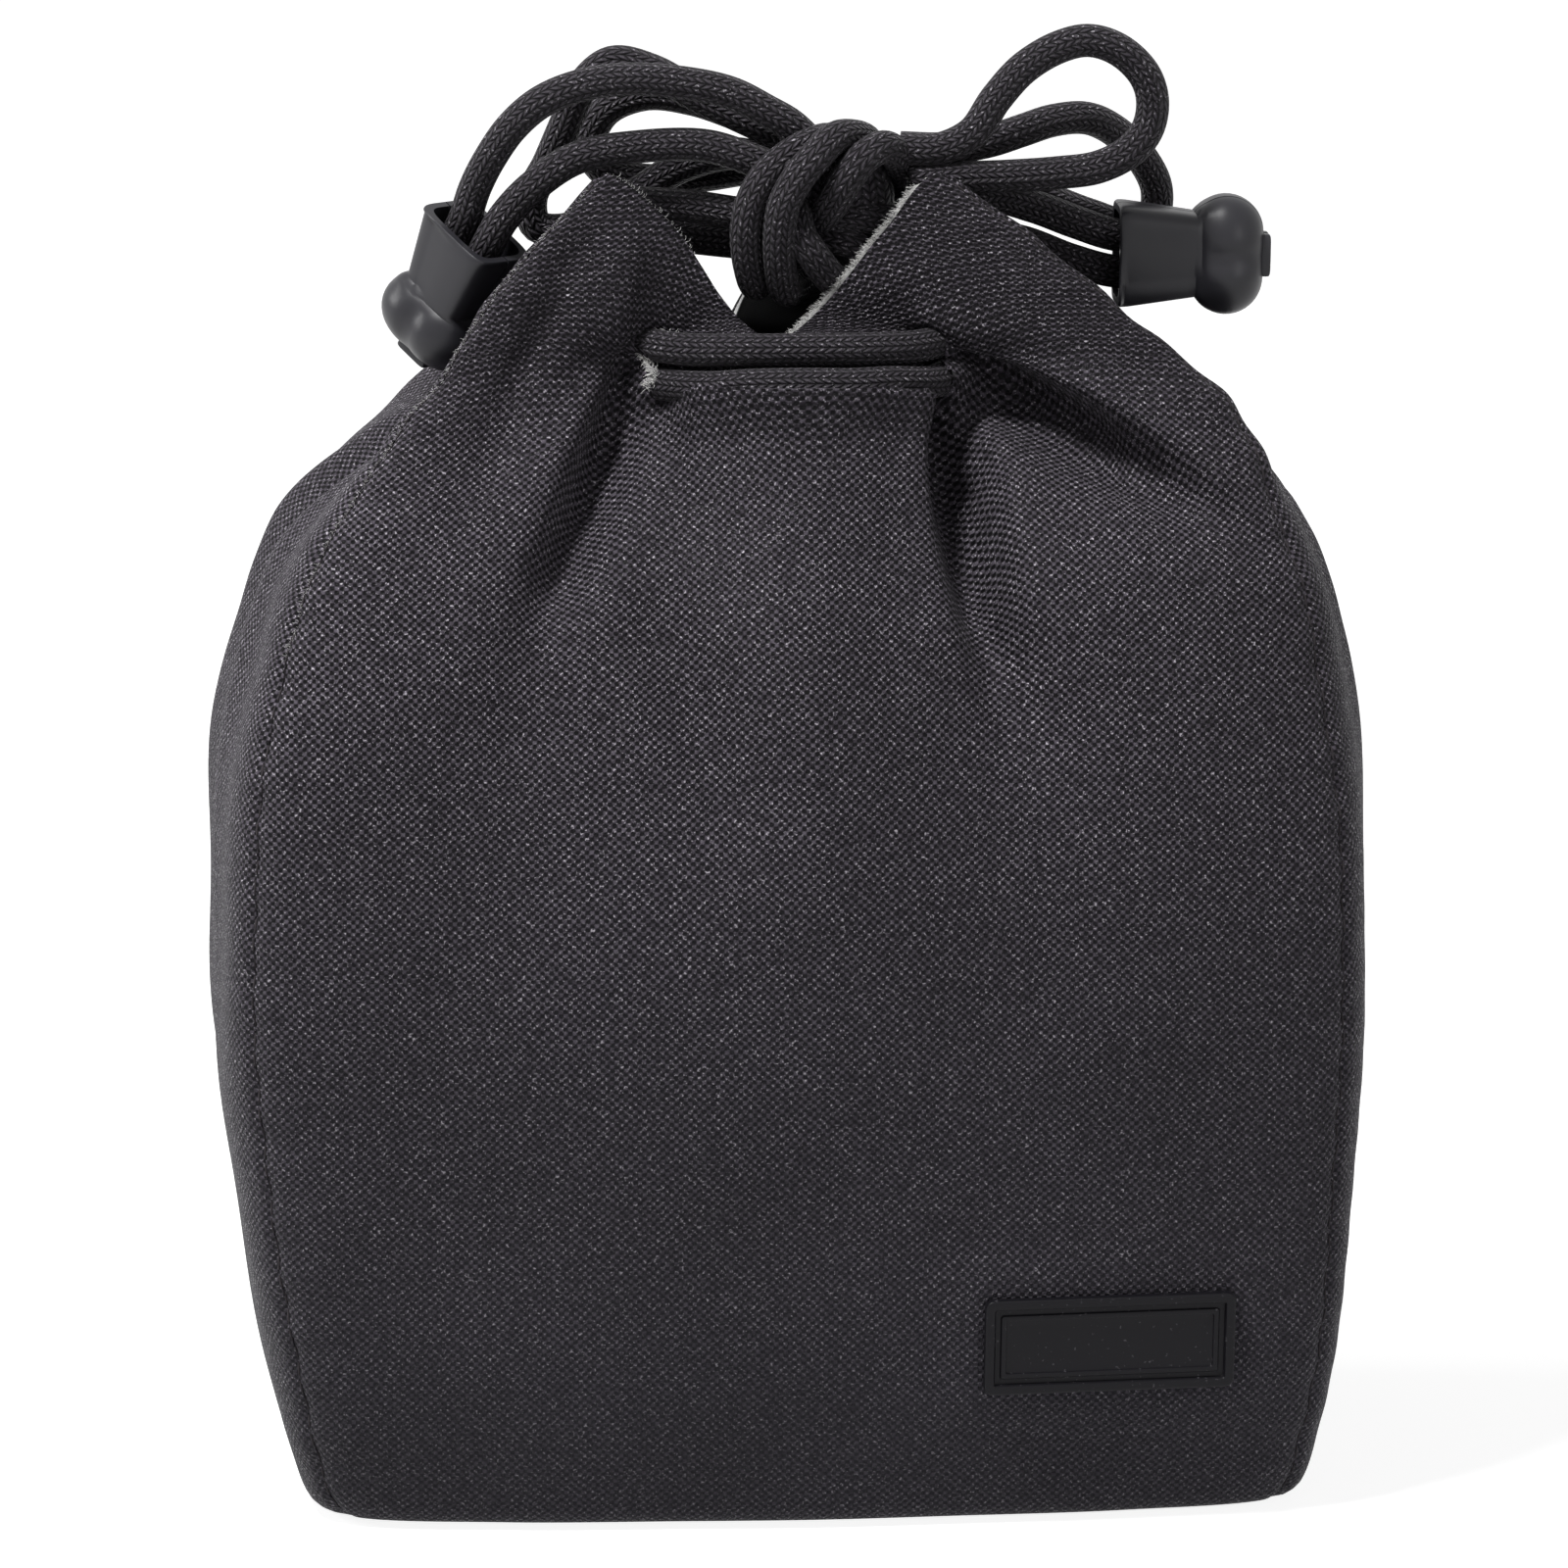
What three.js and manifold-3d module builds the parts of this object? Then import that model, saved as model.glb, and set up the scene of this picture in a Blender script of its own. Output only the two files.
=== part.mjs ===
// A padded drawcord pouch for a camera lens, standing closed with its two drawcords tied in a bow.
// Lengths are in millimetres. +Z is up, the front panel faces -Y, and the origin is the centre of the flat base.
import * as THREE from "three";
import { mergeVertices } from "three/addons/utils/BufferGeometryUtils.js";
import Module from "manifold-3d";

// Overall size of the sewn body, without cords
const bodyWidth = 174;
const bodyDepth = 106;
const bodyHeight = 201.5;

// The quilted laminate: woven shell, batting and lining, with the small air gap between layers
const shellThickness = 0.8;
const paddingThickness = 1.8;
const liningThickness = 0.6;
const layerGap = 0.3;
const wallThickness = shellThickness + paddingThickness + liningThickness + 2 * layerGap;
const basePlateMargin = 0.4;

// Drawcord
const cordDiameter = 5;
const cordSides = 8;
const cordClearance = 0.3;
const heldCordStep = 7;
const freeCordStep = 9.5;
const cutterOverrun = 0.3;

// Sewn label, a moulded rubber patch
const labelWidth = 38;
const labelHeight = 15;
const labelThickness = 1.5;
const labelSideDistance = 43.5;
const labelCentreX = bodyWidth / 2 - labelSideDistance;
const labelCentreZ = 29.5;
const labelCornerRadius = 1.2;
const labelRimWidth = 1.3;
const labelGrooveWidth = 0.9;
const labelGrooveDepth = 0.7;
const labelBeadWidth = 0.8;
const labelBeadDrop = 0.3;
const labelPanelDrop = 0.7;
const labelEdgeRound = 0.35;

// Cord-end clip: two snap-together halves joined by a living hinge at the bulb end
const clipLength = 22.4;
const clipMouthWidth = 15.7;
const clipNeckWidth = 12.7;
const clipBulbWidth = 18.3;
const clipMouthThickness = 12;
const clipNeckThickness = 10;
const clipBulbThickness = 13;
const clipWall = 1.3;
const clipSplitGap = 0.3;
const hingeWidth = 6.5;
const hingeThickness = 0.9;
const hingeReach = 2.2;
const clipSides = 14;
const clipOverrun = 2;

// Knot at the cord ends, held inside the clip's bulb
const endKnotClearance = 0.35;

// Bow knot over the mouth
const knotCentre = new THREE.Vector3(6.5, -5.5, 197.5);
const knotCoreRadii = new THREE.Vector3(8.6, 8.4, 10);
const wrapHalfLength = 11.4;
const wrapHalfDepth = 9.6;
const wrapSpacing = 5.4;
const wrapTilt = THREE.MathUtils.degToRad(48);
const wrapSides = 6;
const wrapSteps = 14;

const wasm = await Module();
wasm.setup();

// Materials
const shellCloth = new THREE.MeshStandardMaterial({ color: 0x2b2a2d, roughness: 0.88, metalness: 0 });
const battingFill = new THREE.MeshStandardMaterial({ color: 0xd9d8d4, roughness: 1, metalness: 0 });
const liningCloth = new THREE.MeshStandardMaterial({ color: 0x1c1c1f, roughness: 0.9, metalness: 0 });
const cordBraid = new THREE.MeshStandardMaterial({ color: 0x232226, roughness: 0.8, metalness: 0 });
const clipPlastic = new THREE.MeshStandardMaterial({ color: 0x1d1d20, roughness: 0.42, metalness: 0 });
const labelRubber = new THREE.MeshStandardMaterial({ color: 0x1a1a1c, roughness: 0.6, metalness: 0 });

const pouch = new THREE.Group();

function addMesh(name, geometry, material) {
  const mesh = new THREE.Mesh(geometry, material);
  mesh.name = name;
  pouch.add(mesh);
  return mesh;
}

// Solids for joining and cutting
function toSolid(geometry) {
  const bare = new THREE.BufferGeometry();
  const source = geometry.index ? geometry.toNonIndexed() : geometry;
  bare.setAttribute("position", source.getAttribute("position").clone());
  const merged = mergeVertices(bare, 1e-4);
  const triVerts = new Uint32Array(merged.index.array);
  const vertProperties = new Float32Array(merged.attributes.position.array);
  return new wasm.Manifold(new wasm.Mesh({ numProp: 3, vertProperties, triVerts }));
}

function toGeometry(solid) {
  const mesh = solid.getMesh();
  const geometry = new THREE.BufferGeometry();
  geometry.setAttribute("position", new THREE.BufferAttribute(new Float32Array(mesh.vertProperties), 3));
  geometry.setIndex(new THREE.BufferAttribute(new Uint32Array(mesh.triVerts), 1));
  geometry.computeVertexNormals();
  return geometry;
}

// A cut can leave a sliver of cloth between two holes, which falls away
function largestBody(solid) {
  return solid.decompose().reduce((best, body) => (body.volume() > best.volume() ? body : best));
}

// A closed body from rings of points that all have the same count, closed by a fan at each end
function loft(rings) {
  const count = rings[0].length;
  const positions = rings.flat().flatMap((p) => [p.x, p.y, p.z]);
  const index = [];
  for (let r = 0; r + 1 < rings.length; r++) {
    for (let i = 0; i < count; i++) {
      const a = r * count + i;
      const b = r * count + ((i + 1) % count);
      index.push(a, b, b + count, a, b + count, a + count);
    }
  }
  for (const [r, flip] of [[0, true], [rings.length - 1, false]]) {
    const centre = new THREE.Vector3();
    rings[r].forEach((p) => centre.addScaledVector(p, 1 / count));
    const hub = positions.length / 3;
    positions.push(centre.x, centre.y, centre.z);
    for (let i = 0; i < count; i++) {
      const a = r * count + i;
      const b = r * count + ((i + 1) % count);
      index.push(...(flip ? [hub, b, a] : [hub, a, b]));
    }
  }
  const geometry = new THREE.BufferGeometry();
  geometry.setAttribute("position", new THREE.Float32BufferAttribute(positions, 3));
  geometry.setIndex(index);
  geometry.computeVertexNormals();
  return geometry;
}

// The sewn body is a loft over twenty rails that run from the base to the rim. A quadrant's rails are, from the
// front or back centre to the side centre: centre, valley, middle of the flap, corner ridge, side and hollow.
// Shares of the half width and half depth: a soft box low down, and gathered flaps with valleys at the drawcord.
const boxShares = [[0, 1], [0.27, 0.985], [0.62, 0.955], [0.94, 0.84], [1, 0.42], [1, 0]];
const beltShares = [[0, 0.94], [0.43, 0.56], [0.74, 0.9], [1, 0.93], [0.86, 0.46], [0.64, 0]];
const backBeltShares = [[-0.06, 0.84], [0.44, 0.56], [0.68, 0.86], [0.9, 0.92], [0.8, 0.46], [0.64, 0]];

// Each level: height, left and right half width, front and back half depth as shares, then how far the front
// and back have gathered, and how far the sides have
const levelShares = [
  [0, 0.858, 0.858, 0.8, 0.8, 0, 0],
  [0.025, 0.897, 0.89, 0.868, 0.868, 0, 0],
  [0.14, 0.96, 0.936, 0.955, 0.955, 0, 0],
  [0.365, 1.022, 0.968, 1, 1, 0, 0],
  [0.54, 1.01, 0.96, 0.955, 0.94, 0.03, 0],
  [0.675, 0.94, 0.905, 0.83, 0.8, 0.13, 0],
  [0.75, 0.845, 0.836, 0.7, 0.675, 0.36, 0.07],
  [0.808, 0.73, 0.765, 0.575, 0.56, 0.72, 0.62],
  [0.862, 0.622, 0.655, 0.485, 0.475, 1, 1],
];

// The gathered back sags at its middle rails
const backSagShares = { 9: 0.012, 10: 0.042, 11: 0.014 };

// The rim rises to a point at each corner and dips between: shares of half width, half depth and height
const rimShares = [
  [-0.052, -0.315, 0.877], [0.03, -0.29, 0.898], [0.14, -0.3, 0.957], [0.238, -0.31, 0.999],
  [0.37, -0.19, 0.935], [0.335, 0, 0.89], [0.36, 0.17, 0.92], [0.26, 0.29, 0.94],
  [0.08, 0.27, 0.922], [-0.056, 0.26, 0.902], [-0.13, 0.28, 0.857], [-0.2, 0.26, 0.89],
  [-0.27, 0.27, 0.92], [-0.345, 0.29, 0.945], [-0.385, 0.17, 0.92], [-0.34, 0, 0.89],
  [-0.4, -0.18, 0.93], [-0.35, -0.3, 1], [-0.225, -0.3, 0.963], [-0.128, -0.29, 0.9],
];

const railCount = 20;
const cornerRails = { frontRight: 3, backRight: 7, backLeft: 13, frontLeft: 17 };

// Which quadrant entry a rail uses, and the signs of its x and y
function railPlace(rail) {
  if (rail <= 5) return { entry: rail, side: 1, face: -1 };
  if (rail <= 10) return { entry: 10 - rail, side: 1, face: 1 };
  if (rail <= 15) return { entry: rail - 10, side: -1, face: 1 };
  return { entry: 20 - rail, side: -1, face: -1 };
}

function levelPoint(level, rail) {
  const { entry, side, face } = railPlace(rail);
  const [height, left, right, front, back, gather, sideGather] = levelShares[level];
  const belt = face < 0 ? beltShares : backBeltShares;
  const weight = entry < 4 ? gather : sideGather;
  const halfWidth = (bodyWidth / 2) * (side < 0 ? left : right);
  const halfDepth = (bodyDepth / 2) * (face < 0 ? front : back);
  const x = side * halfWidth * THREE.MathUtils.lerp(boxShares[entry][0], belt[entry][0], weight);
  const y = face * halfDepth * THREE.MathUtils.lerp(boxShares[entry][1], belt[entry][1], weight);
  const sag = (backSagShares[rail] ?? 0) * weight;
  return new THREE.Vector3(x, y, bodyHeight * (height - sag));
}

function rimPoint(rail) {
  const [x, y, z] = rimShares[rail];
  return new THREE.Vector3((x * bodyWidth) / 2, (y * bodyDepth) / 2, z * bodyHeight);
}

// Control points, with one level half way between the drawcord and the rim
const flapBulgeShare = 0.04;
const controls = levelShares.map((_, level) => {
  return Array.from({ length: railCount }, (_, rail) => levelPoint(level, rail));
});
const rim = Array.from({ length: railCount }, (_, rail) => rimPoint(rail));
const cuff = rim.map((top, rail) => {
  const middle = top.clone().lerp(controls[controls.length - 1][rail], 0.5);
  middle.x *= 1 + flapBulgeShare;
  middle.y *= 1 + flapBulgeShare;
  return middle;
});
controls.push(cuff, rim);
const lastLevel = controls.length - 1;
const beltLevel = levelShares.length - 1;

function blend4(p0, p1, p2, p3, t) {
  const out = new THREE.Vector3();
  const t2 = t * t;
  const t3 = t2 * t;
  out.addScaledVector(p0, (-t3 + 2 * t2 - t) / 2);
  out.addScaledVector(p1, (3 * t3 - 5 * t2 + 2) / 2);
  out.addScaledVector(p2, (-3 * t3 + 4 * t2 + t) / 2);
  out.addScaledVector(p3, (t3 - t2) / 2);
  return out;
}

function railCurve(rail, v) {
  const wrapped = ((rail % railCount) + railCount) % railCount;
  const level = Math.min(Math.floor(v), lastLevel - 1);
  const at = (i) => controls[THREE.MathUtils.clamp(i, 0, lastLevel)][wrapped];
  return blend4(at(level - 1), at(level), at(level + 1), at(level + 2), v - level);
}

function wallPoint(u, v) {
  const rail = Math.floor(u);
  const at = (i) => railCurve(rail + i, v);
  return blend4(at(-1), at(0), at(1), at(2), u - rail);
}

// The grid of the walls: rows up the levels and columns between the rails
const wallRows = [0, 1, 2, 3, 4, 5, 6, 6.5, 7, 7.5, 8, 8.5, 9, 10];
const columnStep = 0.5;

// The way inwards that keeps a layer parallel to the four facets round a grid point, by least squares
const sharpestMitre = 2.1;
const mitreDamping = 0.02;
function inwardMitre(u, v) {
  const row = Math.max(0, wallRows.findIndex((level) => level >= v - 1e-6));
  const below = wallRows[Math.max(0, row - 1)];
  const above = wallRows[Math.min(wallRows.length - 1, row + 1)];
  const here = wallPoint(u, v);
  const sum = new THREE.Matrix3().set(mitreDamping, 0, 0, 0, mitreDamping, 0, 0, 0, mitreDamping);
  const total = new THREE.Vector3();
  for (const side of [-1, 1]) {
    for (const level of [below, above]) {
      if (level === v) continue;
      const across = wallPoint(u + side * columnStep, v).sub(here).multiplyScalar(side);
      const up = wallPoint(u, level).sub(here).multiplyScalar(Math.sign(level - v));
      const n = across.cross(up).normalize();
      const outer = [n.x * n.x, n.x * n.y, n.x * n.z, n.x * n.y, n.y * n.y, n.y * n.z, n.x * n.z, n.y * n.z, n.z * n.z];
      outer.forEach((value, i) => (sum.elements[i] += value));
      total.sub(n);
    }
  }
  const mitre = total.applyMatrix3(sum.invert());
  if (v === 0) mitre.setZ(0);
  return mitre.clampLength(0, sharpestMitre);
}

// The drawcords press the layers together where they gather them
const gatheredShare = 0.68;
const squeezeLevels = [4, 7];
function layerPoint(u, v, depth) {
  const squeeze = THREE.MathUtils.lerp(1, gatheredShare, THREE.MathUtils.smoothstep(v, ...squeezeLevels));
  return wallPoint(u, v).addScaledVector(inwardMitre(u, v), depth * squeeze);
}

// The edge of a panel keeps clear of the next panel at the seam
function seamPoint(u, v, depth, shift) {
  return layerPoint(u, v, depth).add(wallPoint(u + shift, v)).sub(wallPoint(u, v));
}

// A panel of one layer, closed between two depths under the outer surface
function panelLayer(firstRail, lastRail, outerDepth, innerDepth, seamShare) {
  const columns = [];
  for (let u = firstRail; u <= lastRail; u += columnStep) columns.push(u);
  const shiftAt = (u) => (u === firstRail ? seamShare : 0) - (u === lastRail ? seamShare : 0);
  const rings = wallRows.map((v) => {
    const outside = columns.map((u) => seamPoint(u, v, outerDepth, shiftAt(u)));
    const inside = columns.map((u) => seamPoint(u, v, innerDepth, shiftAt(u))).reverse();
    return [...outside, ...inside];
  });
  return strip(rings, columns.length);
}

// Like loft, but each end is closed by quads between the outer and the inner run of its ring
function strip(rings, run) {
  const count = 2 * run;
  const positions = rings.flat().flatMap((p) => [p.x, p.y, p.z]);
  const index = [];
  for (let r = 0; r + 1 < rings.length; r++) {
    for (let i = 0; i < count; i++) {
      const a = r * count + i;
      const b = r * count + ((i + 1) % count);
      // The inner run goes back along the outer one, so its squares are split the other way to lie parallel
      if (i < run) index.push(a, b, b + count, a, b + count, a + count);
      else index.push(a, b, a + count, b, b + count, a + count);
    }
  }
  const top = (rings.length - 1) * count;
  for (let i = 0; i + 1 < run; i++) {
    const j = count - 1 - i;
    index.push(i, j, j - 1, i, j - 1, i + 1);
    index.push(top + i, top + j - 1, top + j, top + i, top + i + 1, top + j - 1);
  }
  const geometry = new THREE.BufferGeometry();
  geometry.setAttribute("position", new THREE.Float32BufferAttribute(positions, 3));
  geometry.setIndex(index);
  geometry.computeVertexNormals();
  return geometry;
}

// Cords. Each route is a list of points chosen by hand.
function cordCurve(route) {
  const points = route.map(([x, y, z]) => new THREE.Vector3(x, y, z));
  return new THREE.CatmullRomCurve3(points, false, "centripetal");
}

function cordTube(route, radius, step, sides) {
  const curve = cordCurve(route);
  const section = new THREE.Shape();
  for (let i = 0; i < sides; i++) {
    const angle = (2 * Math.PI * i) / sides;
    const [x, y] = [radius * Math.cos(angle), radius * Math.sin(angle)];
    if (i === 0) section.moveTo(x, y);
    else section.lineTo(x, y);
  }
  section.closePath();
  const steps = Math.max(3, Math.round(curve.getLength() / step));
  return new THREE.ExtrudeGeometry(section, { steps, extrudePath: curve, bevelEnabled: false });
}

// The route made a little longer at both ends, for cutting a pocket
function longerRoute(route, by) {
  const stretch = (end, next) => {
    const outward = new THREE.Vector3(...end).sub(new THREE.Vector3(...next)).setLength(by);
    return new THREE.Vector3(...end).add(outward).toArray();
  };
  const first = stretch(route[0], route[1]);
  const last = stretch(route[route.length - 1], route[route.length - 2]);
  return [first, ...route, last];
}

// Round the mouth: in front of the front and back centre, behind the corner flaps, out at its own side
const leftDrawcordRoute = [
  [-3.2, -8.2, 193.6], [-9, -6.6, 194.2], [-18, -4.4, 195.2], [-27.6, -3.4, 195], [-34.4, -3.4, 191.4], [-38, -3.4, 185.2],
  [-38.8, -3.3, 179], [-36, -3.6, 176], [-31, -6, 176], [-26.5, -10.5, 176], [-22.8, -15.4, 175.8], [-17.6, -20.2, 175.8],
  [-9, -24, 176.2], [0, -24.8, 176.3], [8, -24.2, 176.2], [15.5, -20.4, 175.8], [20, -15, 175.6], [22.6, -9.5, 175.4],
  [23.8, -4.5, 175.4], [24, 0, 175.4], [23.8, 4.5, 175.4], [22.6, 9.5, 175.4], [19.6, 15, 174.8],
  [15, 20.8, 172.6], [8, 24.6, 170], [0, 24.6, 168.2], [-8, 24.2, 168.6], [-15, 21.8, 171.6], [-20.4, 17.4, 174],
  [-25.4, 11, 175.6],
  [-31, 6, 176], [-36, 3.6, 176], [-38.8, 3.3, 179], [-37.4, 3.3, 185], [-33, 3.2, 189.2], [-26.6, 2.8, 190.2],
  [-18, 1.8, 189.6], [-9, 0.2, 188.8], [-2.6, -1.6, 188.6],
];
const rightDrawcordRoute = [
  [14.4, -0.8, 190.6], [20, 0, 186.4], [28.6, -2.8, 183.4], [37.5, -3.4, 181], [41.6, -3.4, 176], [40.6, -3.3, 171.6],
  [36.5, -3.6, 170], [31, -6, 170], [25.5, -10.4, 170.2], [21.4, -15.8, 170.2], [17.4, -21.6, 170.6], [12, -26, 171.4],
  [6, -28.4, 171.6], [0, -29, 171.8], [-8, -28, 171.6], [-15, -23.8, 170.6], [-20.8, -17.8, 170.2],
  [-25.4, -11.6, 170.4], [-28.2, -5.6, 170], [-28.8, 0, 170], [-28.2, 5.6, 170], [-25.6, 12, 169.8],
  [-21.6, 18.8, 168.2], [-17, 25.4, 165.8], [-9, 30, 163], [0, 30.4, 162.4], [9, 29.2, 164], [16.5, 23.6, 167],
  [20.6, 17, 169.4], [25.2, 10.8, 170], [31, 6, 170], [36.5, 3.6, 170], [40.6, 3.3, 171.6], [41.6, 3.4, 176],
  [37.5, 3.4, 181], [30, 3.4, 183.8], [21, 5.6, 187], [15, 5, 191],
];

// The bow: two loops and two tails each side of the knot
const leftFrontLoopRoute = [
  [-2.6, -3.2, 205.6], [-8, -2, 208], [-15, 0, 211.2], [-21.5, 1.5, 214.8], [-27.6, 2.6, 216], [-32, 4, 212.2],
  [-34.6, 6, 206], [-37, 8, 200], [-39.6, 9.4, 194.4], [-38.8, 9.8, 190.2], [-34, 10.2, 189.6], [-26, 10, 193.4],
  [-17, 7, 199.4], [-9, 2.2, 202], [-3.6, -1.4, 201],
];
const leftRearLoopRoute = [
  [1.6, 0.4, 203.6], [-3.4, 4.2, 205.6], [-8, 6.4, 207.2], [-15, 8.6, 209.4], [-22, 10.6, 210], [-28, 12.4, 207.4], [-30.4, 14.4, 202.2],
  [-28, 16, 197.6], [-21, 15.2, 196.2], [-13, 11.6, 197.4], [-6.4, 7.8, 198.8], [-1.2, 4.4, 198.6],
  [2.2, 1.2, 198],
];
const rightOuterLoopRoute = [
  [15.2, -8.6, 204], [20.6, -9.4, 204], [25.8, -9.5, 206.4], [29.4, -9.5, 211.6], [33.6, -9.5, 216.2],
  [38.9, -9.5, 219.3], [43.4, -9.5, 220.2], [47.9, -9.5, 218.7], [51.7, -9.4, 215], [53, -9.2, 211], [52.3, -9, 206.7],
  [49.7, -8.9, 203.4], [44.9, -8.9, 201], [38.6, -9, 200.2], [30.8, -9.4, 199.8], [23.4, -9.6, 199.6],
  [16.6, -9.4, 198.9],
];
const rightInnerLoopRoute = [
  [15.6, -3, 203.4], [22, -3, 203.2], [29, -2.6, 204.2], [34, -1.6, 205.6], [39, 0.6, 206.8], [44.6, 4, 206.6],
  [49.8, 8, 203.6], [54, 11, 199], [56.2, 13, 194.3], [55.8, 14, 190.4], [52.4, 14, 188.6], [46, 12.2, 190.6],
  [38, 9, 194], [28, 5.6, 197.4], [21, 3.4, 198.6], [15.8, 2, 198.6],
];
const leftUpperTailRoute = [
  [1.6, -9.2, 205], [-1.6, -9.5, 208], [-5, -9.6, 210], [-10.4, -9.6, 212.8], [-17.4, -9.6, 214.4], [-26.4, -9.4, 215],
  [-33, -8.8, 214], [-38.6, -7.8, 211.6], [-43, -6, 207.6], [-46.4, -4, 202.4], [-48.6, -2, 197.6], [-50, -1, 193.2],
  [-52.6, 1.4, 187],
];
const leftLowerTailRoute = [
  [-0.4, -10.4, 200], [-4, -9.8, 201.4], [-8.6, -9.2, 203.2], [-14.4, -8.6, 204.8], [-24.6, -8, 204.6], [-33.4, -7.6, 203],
  [-40, -6.8, 198.6], [-44.2, -5.8, 194], [-46.6, -4.8, 189.8], [-49, -2.4, 184.2],
];
const rightUpperTailRoute = [
  [16.2, -8.7, 193], [22, -6.6, 194.4], [29, -2.6, 195.8], [36, 0, 193.8], [42.5, 1, 191.2], [48.7, 1, 189.2],
  [55.4, 1, 189],
];
const rightLowerTailRoute = [
  [13.4, -8.6, 186.6], [20, -6.8, 188.2], [27, -3.4, 190], [34.5, 0, 188.4], [42, 1, 185.4], [48.7, 1, 183.6],
  [55.4, 1, 183.6],
];

const cordRadius = cordDiameter / 2;
function heldCord(name, route) {
  addMesh(name, cordTube(route, cordRadius, heldCordStep, cordSides), cordBraid);
}
function freeCord(name, route) {
  addMesh(name, cordTube(route, cordRadius, freeCordStep, cordSides), cordBraid);
}
function cordCutter(route, step) {
  return toSolid(cordTube(longerRoute(route, cutterOverrun), cordRadius + cordClearance, step, cordSides));
}

heldCord("left_drawcord", leftDrawcordRoute);
heldCord("right_drawcord", rightDrawcordRoute);
const freeRoutes = {
  left_bow_loop_front: leftFrontLoopRoute,
  left_bow_loop_rear: leftRearLoopRoute,
  right_bow_loop_outer: rightOuterLoopRoute,
  right_bow_loop_inner: rightInnerLoopRoute,
  left_tail_upper: leftUpperTailRoute,
  left_tail_lower: leftLowerTailRoute,
  right_tail_upper: rightUpperTailRoute,
  right_tail_lower: rightLowerTailRoute,
};
for (const [name, route] of Object.entries(freeRoutes)) freeCord(name, route);

// Wall panels in three layers, with slits where the drawcords pass
const drawcordCutters = [
  cordCutter(leftDrawcordRoute, heldCordStep),
  cordCutter(rightDrawcordRoute, heldCordStep),
];
const paddingDepth = shellThickness + layerGap;
const liningDepth = paddingDepth + paddingThickness + layerGap;
const layers = [
  { name: "shell", from: 0, thickness: shellThickness, seamShare: 0.03, material: shellCloth },
  { name: "padding", from: paddingDepth, thickness: paddingThickness, seamShare: 0.05, material: battingFill },
  { name: "lining", from: liningDepth, thickness: liningThickness, seamShare: 0.075, material: liningCloth },
];
const panels = [
  { name: "front", from: cornerRails.frontLeft - railCount, to: cornerRails.frontRight },
  { name: "right", from: cornerRails.frontRight, to: cornerRails.backRight },
  { name: "back", from: cornerRails.backRight, to: cornerRails.backLeft },
  { name: "left", from: cornerRails.backLeft, to: cornerRails.frontLeft },
];
const sewn = [];
for (const layer of layers) {
  for (const panel of panels) {
    const { from, thickness, seamShare } = layer;
    const geometry = panelLayer(panel.from, panel.to, from, from + thickness, seamShare);
    let solid = toSolid(geometry);
    for (const cutter of drawcordCutters) solid = solid.subtract(cutter);
    // Where neighbours press on each other in the gathers, the inner one gives way
    for (const neighbour of sewn) solid = solid.subtract(neighbour);
    solid = largestBody(solid);
    sewn.push(solid);
    addMesh(`${panel.name}_${layer.name}`, toGeometry(solid), layer.material);
  }
}

// The base: the same three layers laid flat inside the walls
const baseInset = wallThickness + basePlateMargin;
for (const layer of layers) {
  const outline = new THREE.Shape();
  for (let u = 0; u < railCount; u += columnStep) {
    const p = layerPoint(u, 0, baseInset);
    if (u === 0) outline.moveTo(p.x, p.y);
    else outline.lineTo(p.x, p.y);
  }
  outline.closePath();
  const plate = new THREE.ExtrudeGeometry(outline, { depth: layer.thickness, bevelEnabled: false });
  const mesh = addMesh(`base_${layer.name}`, plate, layer.material);
  mesh.position.z = layer.from;
}

// Where the front panel passes a given x and z, with its outward normal
const normalStep = 0.02;
function frontPoint(x, z) {
  let u = 1;
  let v = 2;
  for (let i = 0; i < 40; i++) {
    const p = wallPoint(u, v);
    const across = wallPoint(u + normalStep, v).sub(p).divideScalar(normalStep);
    const up = wallPoint(u, v + normalStep).sub(p).divideScalar(normalStep);
    v += (z - p.z) / up.z;
    u += (x - p.x) / across.x;
  }
  const across = wallPoint(u + normalStep, v).sub(wallPoint(u - normalStep, v));
  const up = wallPoint(u, v + normalStep).sub(wallPoint(u, v - normalStep));
  return { point: wallPoint(u, v), normal: across.cross(up).normalize() };
}

// The label lies on the plane that touches the panel at its middle: rings of a rounded rectangle at stepped
// insets and heights
const labelCornerSteps = 3;
const labelSeat = frontPoint(labelCentreX, labelCentreZ);
const labelUp = new THREE.Vector3(0, 0, 1).addScaledVector(labelSeat.normal, -labelSeat.normal.z).normalize();
const labelRight = labelUp.clone().cross(labelSeat.normal);

function labelRing(inset, height) {
  const halfW = labelWidth / 2 - inset;
  const halfH = labelHeight / 2 - inset;
  const radius = Math.max(labelCornerRadius - inset, labelCornerRadius / 3);
  const places = [];
  for (let quarter = 0; quarter < 4; quarter++) {
    const side = quarter === 0 || quarter === 3 ? 1 : -1;
    const face = quarter < 2 ? 1 : -1;
    for (let i = 0; i <= labelCornerSteps; i++) {
      const angle = (Math.PI / 2) * (quarter + i / labelCornerSteps);
      const x = side * (halfW - radius) + radius * Math.cos(angle);
      const y = face * (halfH - radius) + radius * Math.sin(angle);
      places.push([x, y]);
    }
  }
  return places.map(([x, y]) => {
    const seat = labelSeat.point.clone().addScaledVector(labelSeat.normal, height);
    return seat.addScaledVector(labelRight, x).addScaledVector(labelUp, y);
  });
}

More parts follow.
